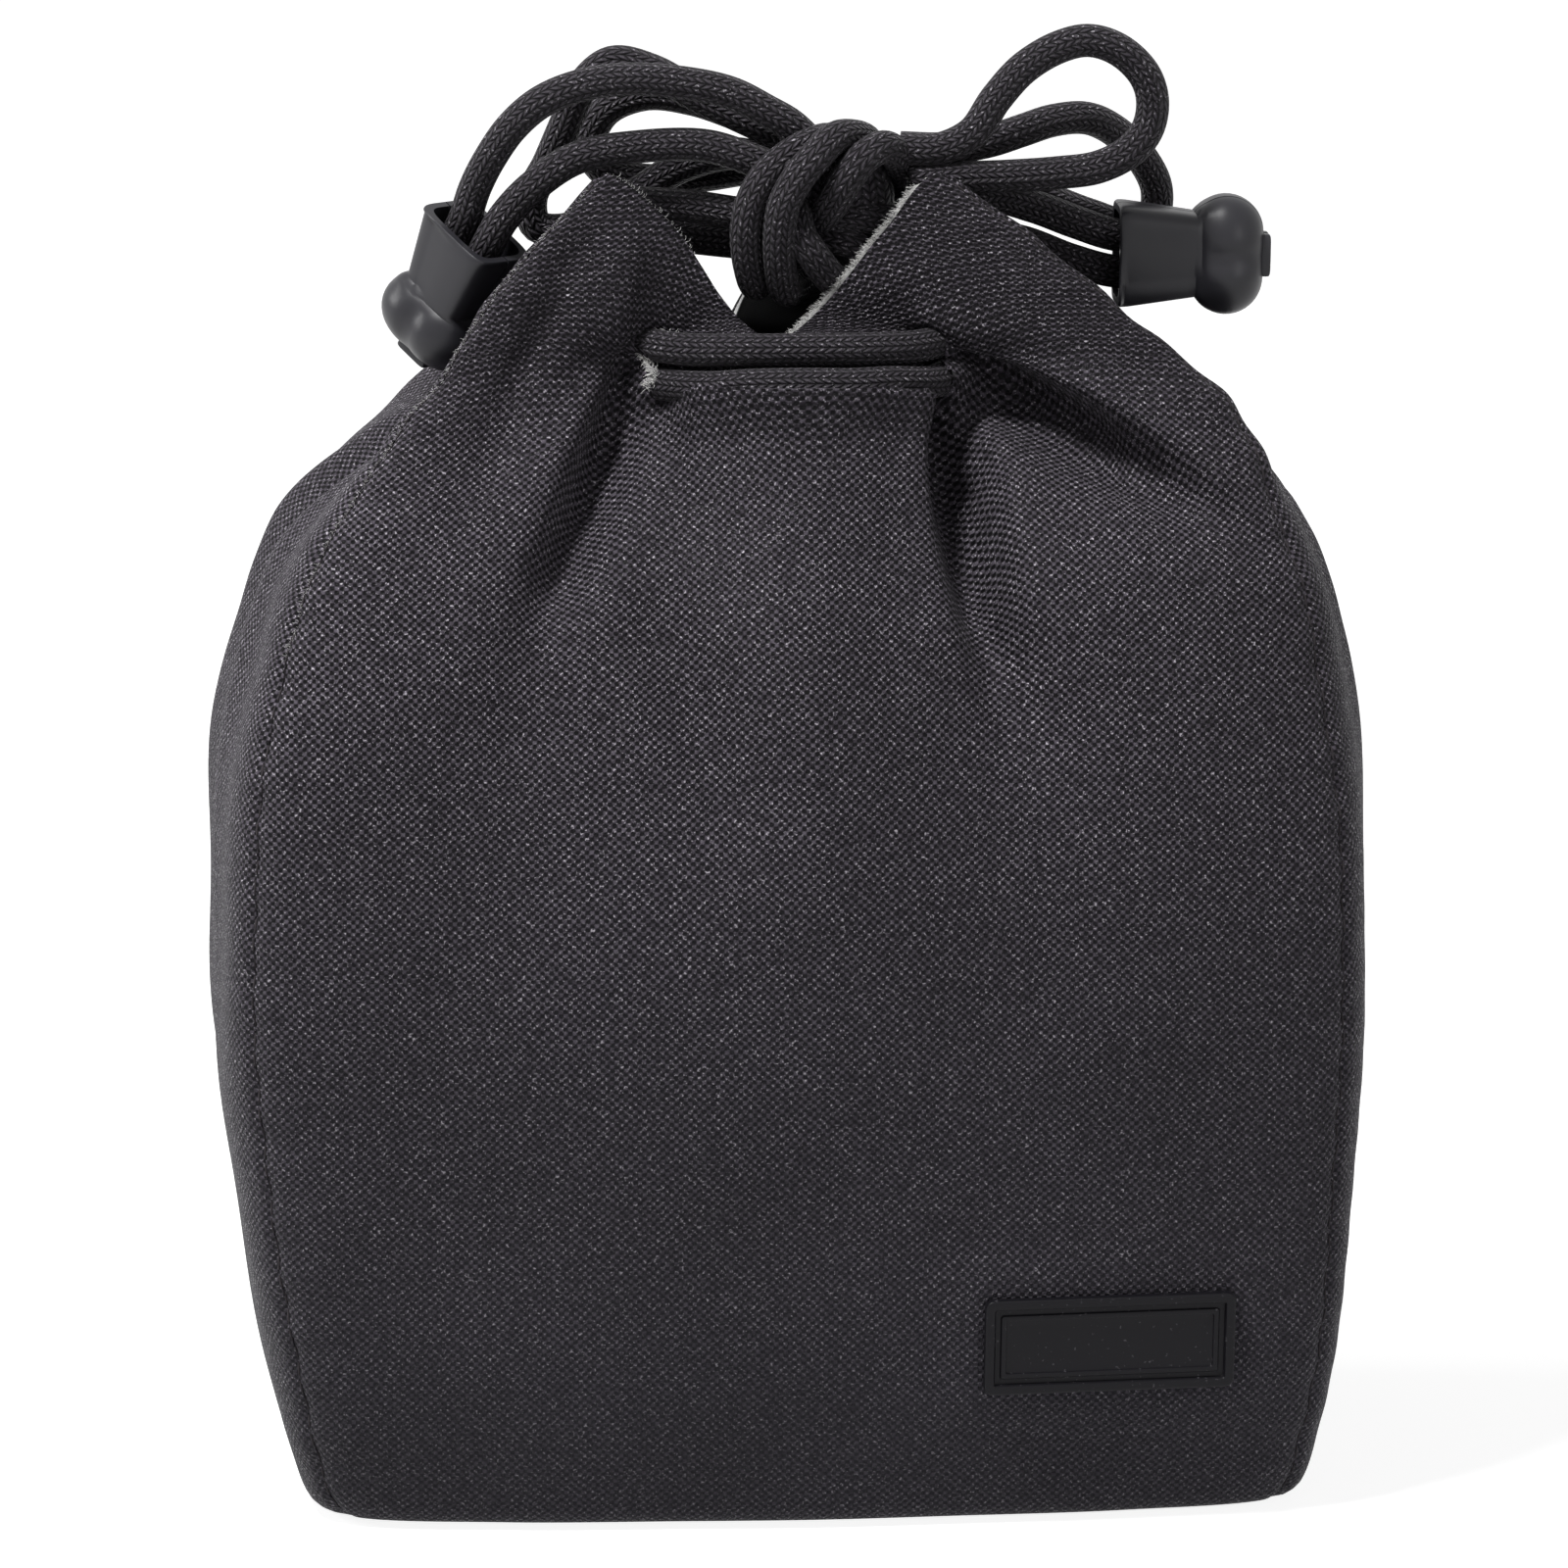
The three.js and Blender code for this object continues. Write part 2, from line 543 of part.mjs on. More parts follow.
const labelTop = layerGap + labelThickness;
const grooveInset = labelRimWidth + labelEdgeRound;
const beadInset = grooveInset + labelGrooveWidth;
const panelInset = beadInset + labelBeadWidth;
const labelProfile = [
  [0, layerGap],
  [0, labelTop - labelEdgeRound],
  [labelEdgeRound, labelTop],
  [labelRimWidth, labelTop],
  [grooveInset, labelTop - labelGrooveDepth],
  [beadInset - labelEdgeRound, labelTop - labelGrooveDepth],
  [beadInset, labelTop - labelBeadDrop],
  [panelInset - labelEdgeRound, labelTop - labelBeadDrop],
  [panelInset, labelTop - labelPanelDrop],
];
const labelRings = labelProfile.map(([inset, height]) => labelRing(inset, height));
addMesh("label_patch", loft(labelRings), labelRubber);

// Bow knot: two wraps of doubled cord round a core where the strands cross
function wrapRing(offset) {
  const ring = new THREE.TorusGeometry(wrapHalfLength, cordRadius, wrapSides, wrapSteps);
  ring.scale(1, wrapHalfDepth / wrapHalfLength, 1);
  // The long way of the ring tilts up to the right, and the two rings step along its axis
  ring.rotateY(-wrapTilt);
  const step = new THREE.Vector3(Math.sin(wrapTilt), 0, -Math.cos(wrapTilt)).multiplyScalar(offset);
  ring.translate(knotCentre.x + step.x, knotCentre.y + step.y, knotCentre.z + step.z);
  return toSolid(ring);
}

const core = new THREE.SphereGeometry(1, 10, 6);
core.scale(knotCoreRadii.x, knotCoreRadii.y, knotCoreRadii.z);
core.translate(knotCentre.x, knotCentre.y, knotCentre.z);
let knot = toSolid(core).add(wrapRing(-wrapSpacing / 2)).add(wrapRing(wrapSpacing / 2));
for (const route of Object.values(freeRoutes)) knot = knot.subtract(cordCutter(route, freeCordStep));
for (const cutter of drawcordCutters) knot = knot.subtract(cutter);
addMesh("bow_knot", toGeometry(knot), cordBraid);

// Cord-end clips. In a clip's own frame X runs from mouth to bulb, Z across its width and -Y is the lid side.
const clipStationShares = [
  // along the length, width and thickness as a share of the way between mouth, neck and bulb
  [0, "mouth", 1], [0.06, "mouth", 1.02], [0.3, "mouthNeck", 0.5], [0.5, "neck", 1], [0.58, "neck", 1.02],
  [0.68, "bulb", 0.93], [0.78, "bulb", 1], [0.88, "bulb", 0.94], [0.96, "bulb", 0.76], [1, "bulb", 0.5],
];
function clipSize(kind) {
  if (kind === "mouth") return [clipMouthWidth, clipMouthThickness];
  if (kind === "neck") return [clipNeckWidth, clipNeckThickness];
  if (kind === "bulb") return [clipBulbWidth, clipBulbThickness];
  return [clipMouthWidth + clipNeckWidth, clipMouthThickness + clipNeckThickness];
}

// A rounded rectangle section, squarer than an ellipse
const sectionPower = 0.62;
function clipSection(x, width, thickness) {
  return Array.from({ length: clipSides }, (_, i) => {
    const angle = (2 * Math.PI * (i + 0.5)) / clipSides;
    const [c, s] = [Math.cos(angle), Math.sin(angle)];
    const y = (thickness / 2) * Math.sign(c) * Math.abs(c) ** sectionPower;
    const z = (width / 2) * Math.sign(s) * Math.abs(s) ** sectionPower;
    return new THREE.Vector3(x, y, z);
  });
}

function clipBody(inset, mouthOverrun) {
  const rings = clipStationShares.map(([along, kind, share], i) => {
    const [width, thickness] = clipSize(kind);
    let x = along * clipLength;
    if (inset > 0) x = i === 0 ? -mouthOverrun : Math.min(x, clipLength - inset - (1 - along) * inset);
    return clipSection(x, width * share - 2 * inset, thickness * share - 2 * inset);
  });
  return toSolid(loft(rings));
}

const clipShell = clipBody(0, 0).subtract(clipBody(clipWall, clipOverrun));
const halfBoxSize = 4 * clipLength;
function clipSide(sign) {
  const box = new THREE.BoxGeometry(halfBoxSize, halfBoxSize, halfBoxSize);
  box.translate(0, sign * (halfBoxSize / 2 + clipSplitGap / 2), 0);
  return toSolid(box);
}
function hingeLug(sign) {
  const lug = new THREE.BoxGeometry(2 * hingeThickness, hingeReach, hingeWidth);
  lug.translate(clipLength, sign * (hingeReach / 2 + clipSplitGap / 2), 0);
  return toSolid(lug);
}
const clipLid = clipShell.intersect(clipSide(-1)).add(hingeLug(-1).subtract(clipBody(clipWall, clipOverrun)));
const clipBase = clipShell.intersect(clipSide(1)).add(hingeLug(1).subtract(clipBody(clipWall, clipOverrun)));

// The knotted cord ends fill the bulb
function endKnot() {
  const lump = new THREE.SphereGeometry(1, 10, 6);
  const half = (size) => size / 2 - clipWall - endKnotClearance;
  const alongHalf = clipLength * 0.16;
  lump.scale(alongHalf, half(clipBulbThickness) * 0.98, half(clipBulbWidth) * 0.92);
  lump.translate(clipLength * 0.76, 0, 0);
  return lump;
}

// A clip holds the ends of its two tails side by side: its length runs on from them, and its width across both
const strandReach = 6.65;
function tailEnd(route) {
  const last = new THREE.Vector3(...route[route.length - 1]);
  const before = new THREE.Vector3(...route[route.length - 2]);
  return { last, direction: last.clone().sub(before).normalize() };
}

function placeClip(name, firstRoute, secondRoute) {
  const [first, second] = [tailEnd(firstRoute), tailEnd(secondRoute)];
  const x = first.direction.clone().add(second.direction).normalize();
  const across = first.last.clone().sub(second.last);
  const z = across.addScaledVector(x, -across.dot(x)).normalize();
  const y = z.clone().cross(x);
  const mouth = first.last.clone().lerp(second.last, 0.5).addScaledVector(x, -strandReach);
  const frame = new THREE.Matrix4().makeBasis(x, y, z).setPosition(mouth);
  const place = (geometry) => geometry.applyMatrix4(frame);
  addMesh(`${name}_clip_lid`, place(toGeometry(clipLid)), clipPlastic);
  addMesh(`${name}_clip_base`, place(toGeometry(clipBase)), clipPlastic);
  let lump = toSolid(place(endKnot()));
  for (const route of [firstRoute, secondRoute]) lump = lump.subtract(cordCutter(route, freeCordStep));
  addMesh(`${name}_cord_end_knot`, toGeometry(lump), cordBraid);
}

placeClip("left", leftLowerTailRoute, leftUpperTailRoute);
placeClip("right", rightUpperTailRoute, rightLowerTailRoute);

export default pouch;
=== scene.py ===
import math
import bmesh
import bpy
import numpy as np
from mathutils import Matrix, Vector, kdtree


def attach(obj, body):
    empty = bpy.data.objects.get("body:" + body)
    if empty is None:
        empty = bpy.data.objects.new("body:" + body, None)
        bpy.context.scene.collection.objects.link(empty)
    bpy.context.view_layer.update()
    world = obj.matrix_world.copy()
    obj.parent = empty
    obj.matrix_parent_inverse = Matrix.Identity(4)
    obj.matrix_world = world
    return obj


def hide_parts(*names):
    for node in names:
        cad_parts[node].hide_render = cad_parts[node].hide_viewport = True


# A padded drawcord pouch for a camera lens: woven shell, batting and lining, gathered by two braided cords
# tied in a bow. Sizes are in millimetres, and a mesh turns them to metres.
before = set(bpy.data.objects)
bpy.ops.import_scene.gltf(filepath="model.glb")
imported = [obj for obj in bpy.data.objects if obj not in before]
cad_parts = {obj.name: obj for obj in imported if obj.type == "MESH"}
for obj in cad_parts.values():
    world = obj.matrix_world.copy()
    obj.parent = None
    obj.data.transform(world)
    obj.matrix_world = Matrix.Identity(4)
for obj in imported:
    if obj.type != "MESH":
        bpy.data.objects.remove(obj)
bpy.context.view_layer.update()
MM = 0.001

# Camera: the photograph's angle, from a little left of the front and above it. Lengths are in metres, and the
# lens and its sensor in millimetres.
AZIMUTH, ELEVATION = math.radians(-4), math.radians(12)
CAMERA_DISTANCE = 1.4
FOCAL_LENGTH, SENSOR_WIDTH = 210, 36
NEAREST_SEEN, FARTHEST_SEEN = 0.05, 60
LOOK_AT = Vector((0, 0, 0.105))
SLIDE_LEFT = 0.0018


def place_camera():
    """A camera that looks at the pouch's middle along the photograph's line of sight."""
    back = Vector((
        math.sin(AZIMUTH) * math.cos(ELEVATION),
        -math.cos(AZIMUTH) * math.cos(ELEVATION),
        math.sin(ELEVATION),
    ))
    right = Vector((math.cos(AZIMUTH), math.sin(AZIMUTH), 0))
    data = bpy.data.cameras.new("camera")
    data.lens, data.sensor_width = FOCAL_LENGTH, SENSOR_WIDTH
    data.clip_start, data.clip_end = NEAREST_SEEN, FARTHEST_SEEN
    camera = bpy.data.objects.new("camera", data)
    bpy.context.scene.collection.objects.link(camera)
    camera.location = LOOK_AT - SLIDE_LEFT * right + CAMERA_DISTANCE * back
    camera.rotation_euler = (-back).to_track_quat("-Z", "Y").to_euler()
    bpy.context.scene.camera = camera


place_camera()


# Materials. Object coordinates are metres, so a noise on them is scaled by the number of its clumps in a
# millimetre: 2 / MM draws them half a millimetre across.
def srgb(code):
    """A colour written as an sRGB hex value, as the linear one that a shader takes."""
    channels = [int(code[i:i + 2], 16) / 255 for i in (1, 3, 5)]
    return (*[c / 12.92 if c <= 0.04045 else ((c + 0.055) / 1.055) ** 2.4 for c in channels], 1)


def add_node(tree, kind, inputs=None, **settings):
    """Adds a node. inputs gives a socket, by name or number, a value or another node's output."""
    node = tree.nodes.new(kind)
    for key, value in settings.items():
        setattr(node, key, value)
    for socket, value in (inputs or {}).items():
        if isinstance(value, bpy.types.NodeSocket):
            tree.links.new(value, node.inputs[socket])
        else:
            node.inputs[socket].default_value = value
    return node


def new_material(name, **values):
    """A material with one Principled shader, and its sockets' plain values."""
    material = bpy.data.materials.new(name)
    material.use_nodes = True
    tree = material.node_tree
    shader = tree.nodes["Principled BSDF"]
    for key, value in values.items():
        shader.inputs[key.replace("_", " ")].default_value = value
    return material, tree, shader


def dress(tree, shader, colour, height=None, depth=0.0, strength=1.0):
    """Gives a shader its colour, and a relief whose full height stands depth millimetres out."""
    tree.links.new(colour, shader.inputs["Base Color"])
    if height is not None:
        relief = {"Height": height, "Strength": strength, "Distance": depth * MM}
        relief = add_node(tree, "ShaderNodeBump", relief).outputs[0]
        tree.links.new(relief, shader.inputs["Normal"])


def mottled(name, clumps, dark, light, depth=0.0, **values):
    """A material that goes from a dark to a light colour in clumps, which stand depth millimetres out. clumps
    holds the settings of their noise."""
    material, tree, shader = new_material(name, **values)
    place = add_node(tree, "ShaderNodeTexCoord").outputs["Object"]
    clumps = add_node(tree, "ShaderNodeTexNoise", {"Vector": place, **clumps}).outputs["Fac"]
    colour = {0: clumps, 6: srgb(dark), 7: srgb(light)}
    colour = add_node(tree, "ShaderNodeMix", colour, data_type="RGBA").outputs[2]
    dress(tree, shader, colour, clumps if depth else None, depth)
    return material


# Millimetres: the width of a repeat and the height of a row in each weave
OXFORD_REPEAT, OXFORD_ROW = 1.36, 0.64
TAFFETA_REPEAT, TAFFETA_ROW = 0.6, 0.3
# Millimetres from rib to rib. Blender's wave texture has 20 / (2 * pi) waves to a unit of its vector.
RIB_PITCH, WAVES_TO_A_UNIT = 1.54, 20 / (2 * math.pi)
# Heights on the pouch: where ribs start and are full, and where the lower body's painted flat light is most
# and ends
RIBS_START, RIBS_FULL = 152, 178
PAINTED_FLAT_LIGHT_MOST, PAINTED_FLAT_LIGHT_LEAST = 20, 130


def weave_height(tree, across, up):
    """Height of a plain weave, 0 in the pits to 1 on a float: sines in both ways of the cloth make a chequer
    of bumps, across mm to a repeat in a row and up mm to a row. The UV map holds millimetres along the
    threads, and a noise with clumps of 3 mm lets them wander a little."""
    uv = add_node(tree, "ShaderNodeUVMap", uv_map="UVMap").outputs[0]
    wander = {"Vector": uv, "Scale": 0.35, "Detail": 2.0}
    wander = add_node(tree, "ShaderNodeTexNoise", wander).outputs["Color"]
    wander = {0: wander, 1: (0.5, 0.5, 0.5)}
    wander = add_node(tree, "ShaderNodeVectorMath", wander, operation="SUBTRACT").outputs[0]
    wander = add_node(tree, "ShaderNodeVectorMath", {0: wander, "Scale": 0.4}, operation="SCALE").outputs[0]
    at = add_node(tree, "ShaderNodeVectorMath", {0: uv, 1: wander}, operation="ADD").outputs[0]
    turns = (2 * math.pi / across, math.pi / up, 0)
    at = add_node(tree, "ShaderNodeVectorMath", {0: at, 1: turns}, operation="MULTIPLY").outputs[0]
    at = add_node(tree, "ShaderNodeVectorMath", {0: at}, operation="SINE").outputs[0]
    parts = add_node(tree, "ShaderNodeSeparateXYZ", {0: at}).outputs
    chequer = add_node(tree, "ShaderNodeMath", {0: parts[0], 1: parts[1]}, operation="MULTIPLY").outputs[0]
    spread = {"Value": chequer, "From Min": -0.5, "From Max": 0.55}
    return add_node(tree, "ShaderNodeMapRange", spread, interpolation_type="SMOOTHSTEP").outputs[0]


def oxford_cloth():
    # Polyester Oxford, plain woven from thick spun-dyed yarn: rows of short rounded floats with pits between
    # them, which are painted near black as painted shade. The yarn is dull, with a small hard glint where a
    # few filaments of a float face the lamp, painted into the colour as a painted highlight. Single filaments
    # are too fine to show, so the glints are drawn a third of a millimetre across. Where the cloth is
    # gathered, every second or third row stands out as a rib, and low on the body the weave's colour is
    # painted flatter and dimmer, as painted light.
    material, tree, shader = new_material(
        "woven_oxford_polyester", Specular_IOR_Level=0.14, Sheen_Weight=0.04, Sheen_Roughness=0.4,
    )
    height = weave_height(tree, OXFORD_REPEAT, OXFORD_ROW)
    place = add_node(tree, "ShaderNodeTexCoord").outputs["Object"]
    uv = add_node(tree, "ShaderNodeUVMap", uv_map="UVMap").outputs[0]
    rib = {"Vector": uv, "Scale": 1 / (WAVES_TO_A_UNIT * RIB_PITCH), "Distortion": 1.2, "Detail": 1.0}
    rib = add_node(tree, "ShaderNodeTexWave", rib, bands_direction="Y").outputs["Fac"]
    rib = add_node(tree, "ShaderNodeMapRange", {"Value": rib, "To Min": 0.15, "To Max": 1.4}).outputs[0]
    parts = add_node(tree, "ShaderNodeSeparateXYZ", {0: place}).outputs
    gathered = {"Value": parts[2], "From Min": RIBS_START * MM, "From Max": RIBS_FULL * MM}
    gathered = add_node(tree, "ShaderNodeMapRange", gathered, interpolation_type="SMOOTHSTEP").outputs[0]
    rib = add_node(tree, "ShaderNodeMix", {0: gathered, 2: 1.0, 3: rib}).outputs[0]
    height = add_node(tree, "ShaderNodeMath", {0: height, 1: rib}, operation="MULTIPLY").outputs[0]
    yarn = {"Vector": place, "Scale": 1.1 / MM, "Detail": 4.0}
    yarn = add_node(tree, "ShaderNodeTexNoise", yarn).outputs["Fac"]
    patch = {"Vector": place, "Scale": 0.02 / MM, "Detail": 3.0}
    patch = add_node(tree, "ShaderNodeTexNoise", patch).outputs["Fac"]
    fleck = {"Value": yarn, "From Min": 0.22, "From Max": 0.82}
    fleck = add_node(tree, "ShaderNodeMapRange", fleck, interpolation_type="SMOOTHSTEP").outputs[0]
    top = {0: fleck, 6: srgb("#302c32"), 7: srgb("#67616b")}
    top = add_node(tree, "ShaderNodeMix", top, data_type="RGBA").outputs[2]
    glint = {"Vector": place, "Scale": 3 / MM, "Detail": 1.0}
    glint = add_node(tree, "ShaderNodeTexNoise", glint).outputs["Fac"]
    # Painted highlight: the brightest spots of the glint noise lighten the float's colour towards near white.
    painted_glint = {"Value": glint, "From Min": 0.6, "From Max": 0.72}
    painted_glint = add_node(tree, "ShaderNodeMapRange", painted_glint).outputs[0]
    top = {0: painted_glint, 6: top, 7: srgb("#c4bec7")}
    top = add_node(tree, "ShaderNodeMix", top, data_type="RGBA").outputs[2]
    # Painted shade: the pits between the floats are painted near black, by the weave's height.
    cloth = {0: height, 6: srgb("#020103"), 7: top}
    cloth = add_node(tree, "ShaderNodeMix", cloth, data_type="RGBA").outputs[2]
    # Painted light: low on the body the weave's colour, with its painted glints and shade, fades towards an
    # even
    # dark grey, standing in for the flatter, dimmer light there.
    painted_flat_light = {"Value": parts[2], "From Min": PAINTED_FLAT_LIGHT_MOST * MM, "From Max": PAINTED_FLAT_LIGHT_LEAST * MM, "To Min": 0.42}
    painted_flat_light = add_node(tree, "ShaderNodeMapRange", painted_flat_light).outputs[0]
    cloth = {0: painted_flat_light, 6: srgb("#2a292e"), 7: cloth}
    cloth = add_node(tree, "ShaderNodeMix", cloth, data_type="RGBA").outputs[2]
    wear = {"Value": patch, "From Min": 0.3, "From Max": 0.7, "To Min": 0.84, "To Max": 1.16}
    wear = add_node(tree, "ShaderNodeMapRange", wear).outputs[0]
    cloth = add_node(tree, "ShaderNodeVectorMath", {0: cloth, "Scale": wear}, operation="SCALE").outputs[0]
    dull = {"Value": glint, "From Min": 0.5, "From Max": 0.68, "To Min": 0.8, "To Max": 0.32}
    dull = add_node(tree, "ShaderNodeMapRange", dull).outputs[0]
    tree.links.new(dull, shader.inputs["Roughness"])
    filament = {0: glint, 1: 0.8, 2: height}
    filament = add_node(tree, "ShaderNodeMath", filament, operation="MULTIPLY_ADD").outputs[0]
    dress(tree, shader, cloth, filament, depth=0.2)
    return material


def lining_taffeta():
    # Nylon taffeta, woven much finer than the shell: almost smooth, with a soft shine and a thread-fine grid.
    # Its real threads are about 0.1 mm apart, too fine to show, so they are drawn three times as coarse.
    material, tree, shader = new_material(
        "lining_nylon_taffeta", Roughness=0.55, Specular_IOR_Level=0.35, Sheen_Weight=0.06,
    )
    height = weave_height(tree, TAFFETA_REPEAT, TAFFETA_ROW)
    # Painted shade: the pits of the grid are painted darker than the floats, by the weave's height.
    cloth = {0: height, 6: srgb("#0f0f11"), 7: srgb("#242327")}
    cloth = add_node(tree, "ShaderNodeMix", cloth, data_type="RGBA").outputs[2]
    dress(tree, shader, cloth, height, depth=0.06)
    return material


def polyester_batting():
    # Polyester batting, carded and bonded: matt off-white fluff with clumps a millimetre or two across.
    clumps = {"Scale": 0.7 / MM, "Detail": 5.0, "Roughness": 0.7}
    return mottled(
        "carded_polyester_batting", clumps, "#e2e0de", "#ffffff", depth=0.5,
        Roughness=0.95, Specular_IOR_Level=0.1, Sheen_Weight=0.4, Sheen_Roughness=0.6,
    )


# Columns of stitches round the cord, and millimetres from stitch to stitch along it
CORD_COLUMNS, BRAID_PITCH = 18, 1.3


def humps(tree, turns, flatness):
    """A row of humps, one to each turn: a sine without its sign, raised to a power that flattens its tops."""
    wave = add_node(tree, "ShaderNodeMath", {0: turns, 1: math.pi}, operation="MULTIPLY").outputs[0]
    wave = add_node(tree, "ShaderNodeMath", {0: wave}, operation="SINE").outputs[0]
    wave = add_node(tree, "ShaderNodeMath", {0: wave}, operation="ABSOLUTE").outputs[0]
    return add_node(tree, "ShaderNodeMath", {0: wave, 1: flatness}, operation="POWER").outputs[0]


def braided_cord():
    # Polyester cord, braided over a core: columns of slanting stitches about a millimetre long, turned to and
    # fro so that they make chevrons, with a painted highlight as a glint along each strand and painted shade
    # in the gaps between.
    material, tree, shader = new_material(
        "braided_polyester_cord", Roughness=0.5, Specular_IOR_Level=0.1, Sheen_Weight=0.05,
    )
    uv = add_node(tree, "ShaderNodeUVMap", uv_map="UVMap").outputs[0]
    parts = add_node(tree, "ShaderNodeSeparateXYZ", {0: uv}).outputs
    column = {0: parts[0], 1: float(CORD_COLUMNS)}
    column = add_node(tree, "ShaderNodeMath", column, operation="MULTIPLY").outputs[0]
    slant = add_node(tree, "ShaderNodeMath", {0: column, 1: 1.0}, operation="PINGPONG").outputs[0]
    slant = add_node(tree, "ShaderNodeMath", {0: slant, 1: 0.8}, operation="MULTIPLY").outputs[0]
    along = {0: parts[1], 1: 1 / BRAID_PITCH, 2: slant}
    along = add_node(tree, "ShaderNodeMath", along, operation="MULTIPLY_ADD").outputs[0]
    stitch = {0: humps(tree, along, 0.9), 1: humps(tree, column, 0.7)}
    height = add_node(tree, "ShaderNodeMath", stitch, operation="MULTIPLY").outputs[0]
    place = add_node(tree, "ShaderNodeTexCoord").outputs["Object"]
    yarn = {"Vector": place, "Scale": 1.5 / MM, "Detail": 2.0}
    yarn = add_node(tree, "ShaderNodeTexNoise", yarn).outputs["Fac"]
    strand = {0: yarn, 6: srgb("#221f23"), 7: srgb("#5e5961")}
    strand = add_node(tree, "ShaderNodeMix", strand, data_type="RGBA").outputs[2]
    glint = {"Vector": place, "Scale": 2.6 / MM, "Detail": 1.0}
    glint = add_node(tree, "ShaderNodeTexNoise", glint).outputs["Fac"]
    # Painted highlight: the brightest spots of the glint noise lighten the strands towards near white.
    painted_glint = {"Value": glint, "From Min": 0.62, "From Max": 0.76}
    painted_glint = add_node(tree, "ShaderNodeMapRange", painted_glint).outputs[0]
    strand = {0: painted_glint, 6: strand, 7: srgb("#c2bdc5")}
    strand = add_node(tree, "ShaderNodeMix", strand, data_type="RGBA").outputs[2]
    # Painted shade: the gaps between the stitches are painted near black, by the braid's height.
    braid = {0: height, 6: srgb("#010101"), 7: strand}
    braid = add_node(tree, "ShaderNodeMix", braid, data_type="RGBA").outputs[2]
    dress(tree, shader, braid, height, depth=0.42)
    return material


def moulded_abs():
    # ABS, injection moulded in a spark-eroded tool: satin black with a fine grain that blurs its highlights.
    # The real grain is under 0.1 mm, too fine to show, so it is drawn 0.2 mm wide.
    material, tree, shader = new_material("moulded_abs_clip", Specular_IOR_Level=0.3)
    place = add_node(tree, "ShaderNodeTexCoord").outputs["Object"]
    grain = {"Vector": place, "Scale": 5.2 / MM, "Detail": 3.0}
    grain = add_node(tree, "ShaderNodeTexNoise", grain).outputs["Fac"]
    cloud = {"Vector": place, "Scale": 0.16 / MM, "Detail": 3.0}
    cloud = add_node(tree, "ShaderNodeTexNoise", cloud).outputs["Fac"]
    plastic = {0: cloud, 6: srgb("#242428"), 7: srgb("#2f2e33")}
    plastic = add_node(tree, "ShaderNodeMix", plastic, data_type="RGBA").outputs[2]
    dull = {"Value": cloud, "To Min": 0.32, "To Max": 0.44}
    dull = add_node(tree, "ShaderNodeMapRange", dull).outputs[0]
    tree.links.new(dull, shader.inputs["Roughness"])
    dress(tree, shader, plastic, grain, depth=0.02, strength=0.5)
    return material


def moulded_rubber():
    # Soft PVC, cast in an open mould: matt black with crisp rims, and a little dust in its grain.
    material, tree, shader = new_material("cast_pvc_label", Roughness=0.42, Specular_IOR_Level=0.15)
    place = add_node(tree, "ShaderNodeTexCoord").outputs["Object"]
    grain = {"Vector": place, "Scale": 1.5 / MM, "Detail": 4.0}
    grain = add_node(tree, "ShaderNodeTexNoise", grain).outputs["Fac"]
    dust = {"Value": grain, "From Min": 0.66, "From Max": 0.74}
    dust = add_node(tree, "ShaderNodeMapRange", dust).outputs[0]
    rubber = {0: dust, 6: srgb("#121115"), 7: srgb("#5c5a5f")}
    rubber = add_node(tree, "ShaderNodeMix", rubber, data_type="RGBA").outputs[2]
    dress(tree, shader, rubber, grain, depth=0.04, strength=0.6)
    return material


def sewing_thread():
    # Spun polyester thread: nearly black, matt and a little greyed by rubbing. Its twist is too fine to show.
    wear = {"Scale": 0.5 / MM, "Detail": 3.0}
    return mottled(
        "spun_polyester_thread", wear, "#19171a", "#4a4548", Roughness=0.85, Specular_IOR_Level=0.2,
    )


def batting_fibre():
    # Loose polyester fibres teased out of a cut edge: fine, off-white and slightly shiny.
    tone = {"Scale": 0.4 / MM, "Detail": 2.0}
    return mottled(
        "loose_batting_fibre", tone, "#d9d7d3", "#ffffff", Roughness=0.6, Specular_IOR_Level=0.4,
    )


CLOTH, LINING, BATTING, CORD = oxford_cloth(), lining_taffeta(), polyester_batting(), braided_cord()
PLASTIC, RUBBER, THREAD, FIBRE = moulded_abs(), moulded_rubber(), sewing_thread(), batting_fibre()


# Meshes
def make_piece(name, points, faces, material, uv=None, sharp=50):
    """A piece from points in millimetres. uv holds one pair for each point."""
    mesh = bpy.data.meshes.new(name)
    mesh.from_pydata((np.asarray(points, float) * MM).tolist(), [], [list(map(int, f)) for f in faces])
    mesh.materials.append(material)
    if uv is not None:
        corners = np.empty(len(mesh.loops), int)
        mesh.loops.foreach_get("vertex_index", corners)
        layer = mesh.uv_layers.new(name="UVMap")
        layer.data.foreach_set("uv", np.asarray(uv, np.float32)[corners].ravel())
    mesh.polygons.foreach_set("use_smooth", [True] * len(mesh.polygons))
    mesh.set_sharp_from_angle(angle=math.radians(sharp))
    mesh.update()
    piece = bpy.data.objects.new(name, mesh)
    bpy.context.scene.collection.objects.link(piece)
    return piece


def turn_outward(piece):
    """Turns the faces of a closed piece outwards."""
    shape = bmesh.new()
    shape.from_mesh(piece.data)
    bmesh.ops.recalc_face_normals(shape, faces=shape.faces)
    shape.to_mesh(piece.data)
    shape.free()


def stand_in(piece, body, slot, *nodes):
    """Puts a piece in the place of its CAD nodes, and on a body. The slot is not used."""
    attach(piece, body)
    if nodes:
        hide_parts(*nodes)
    return piece


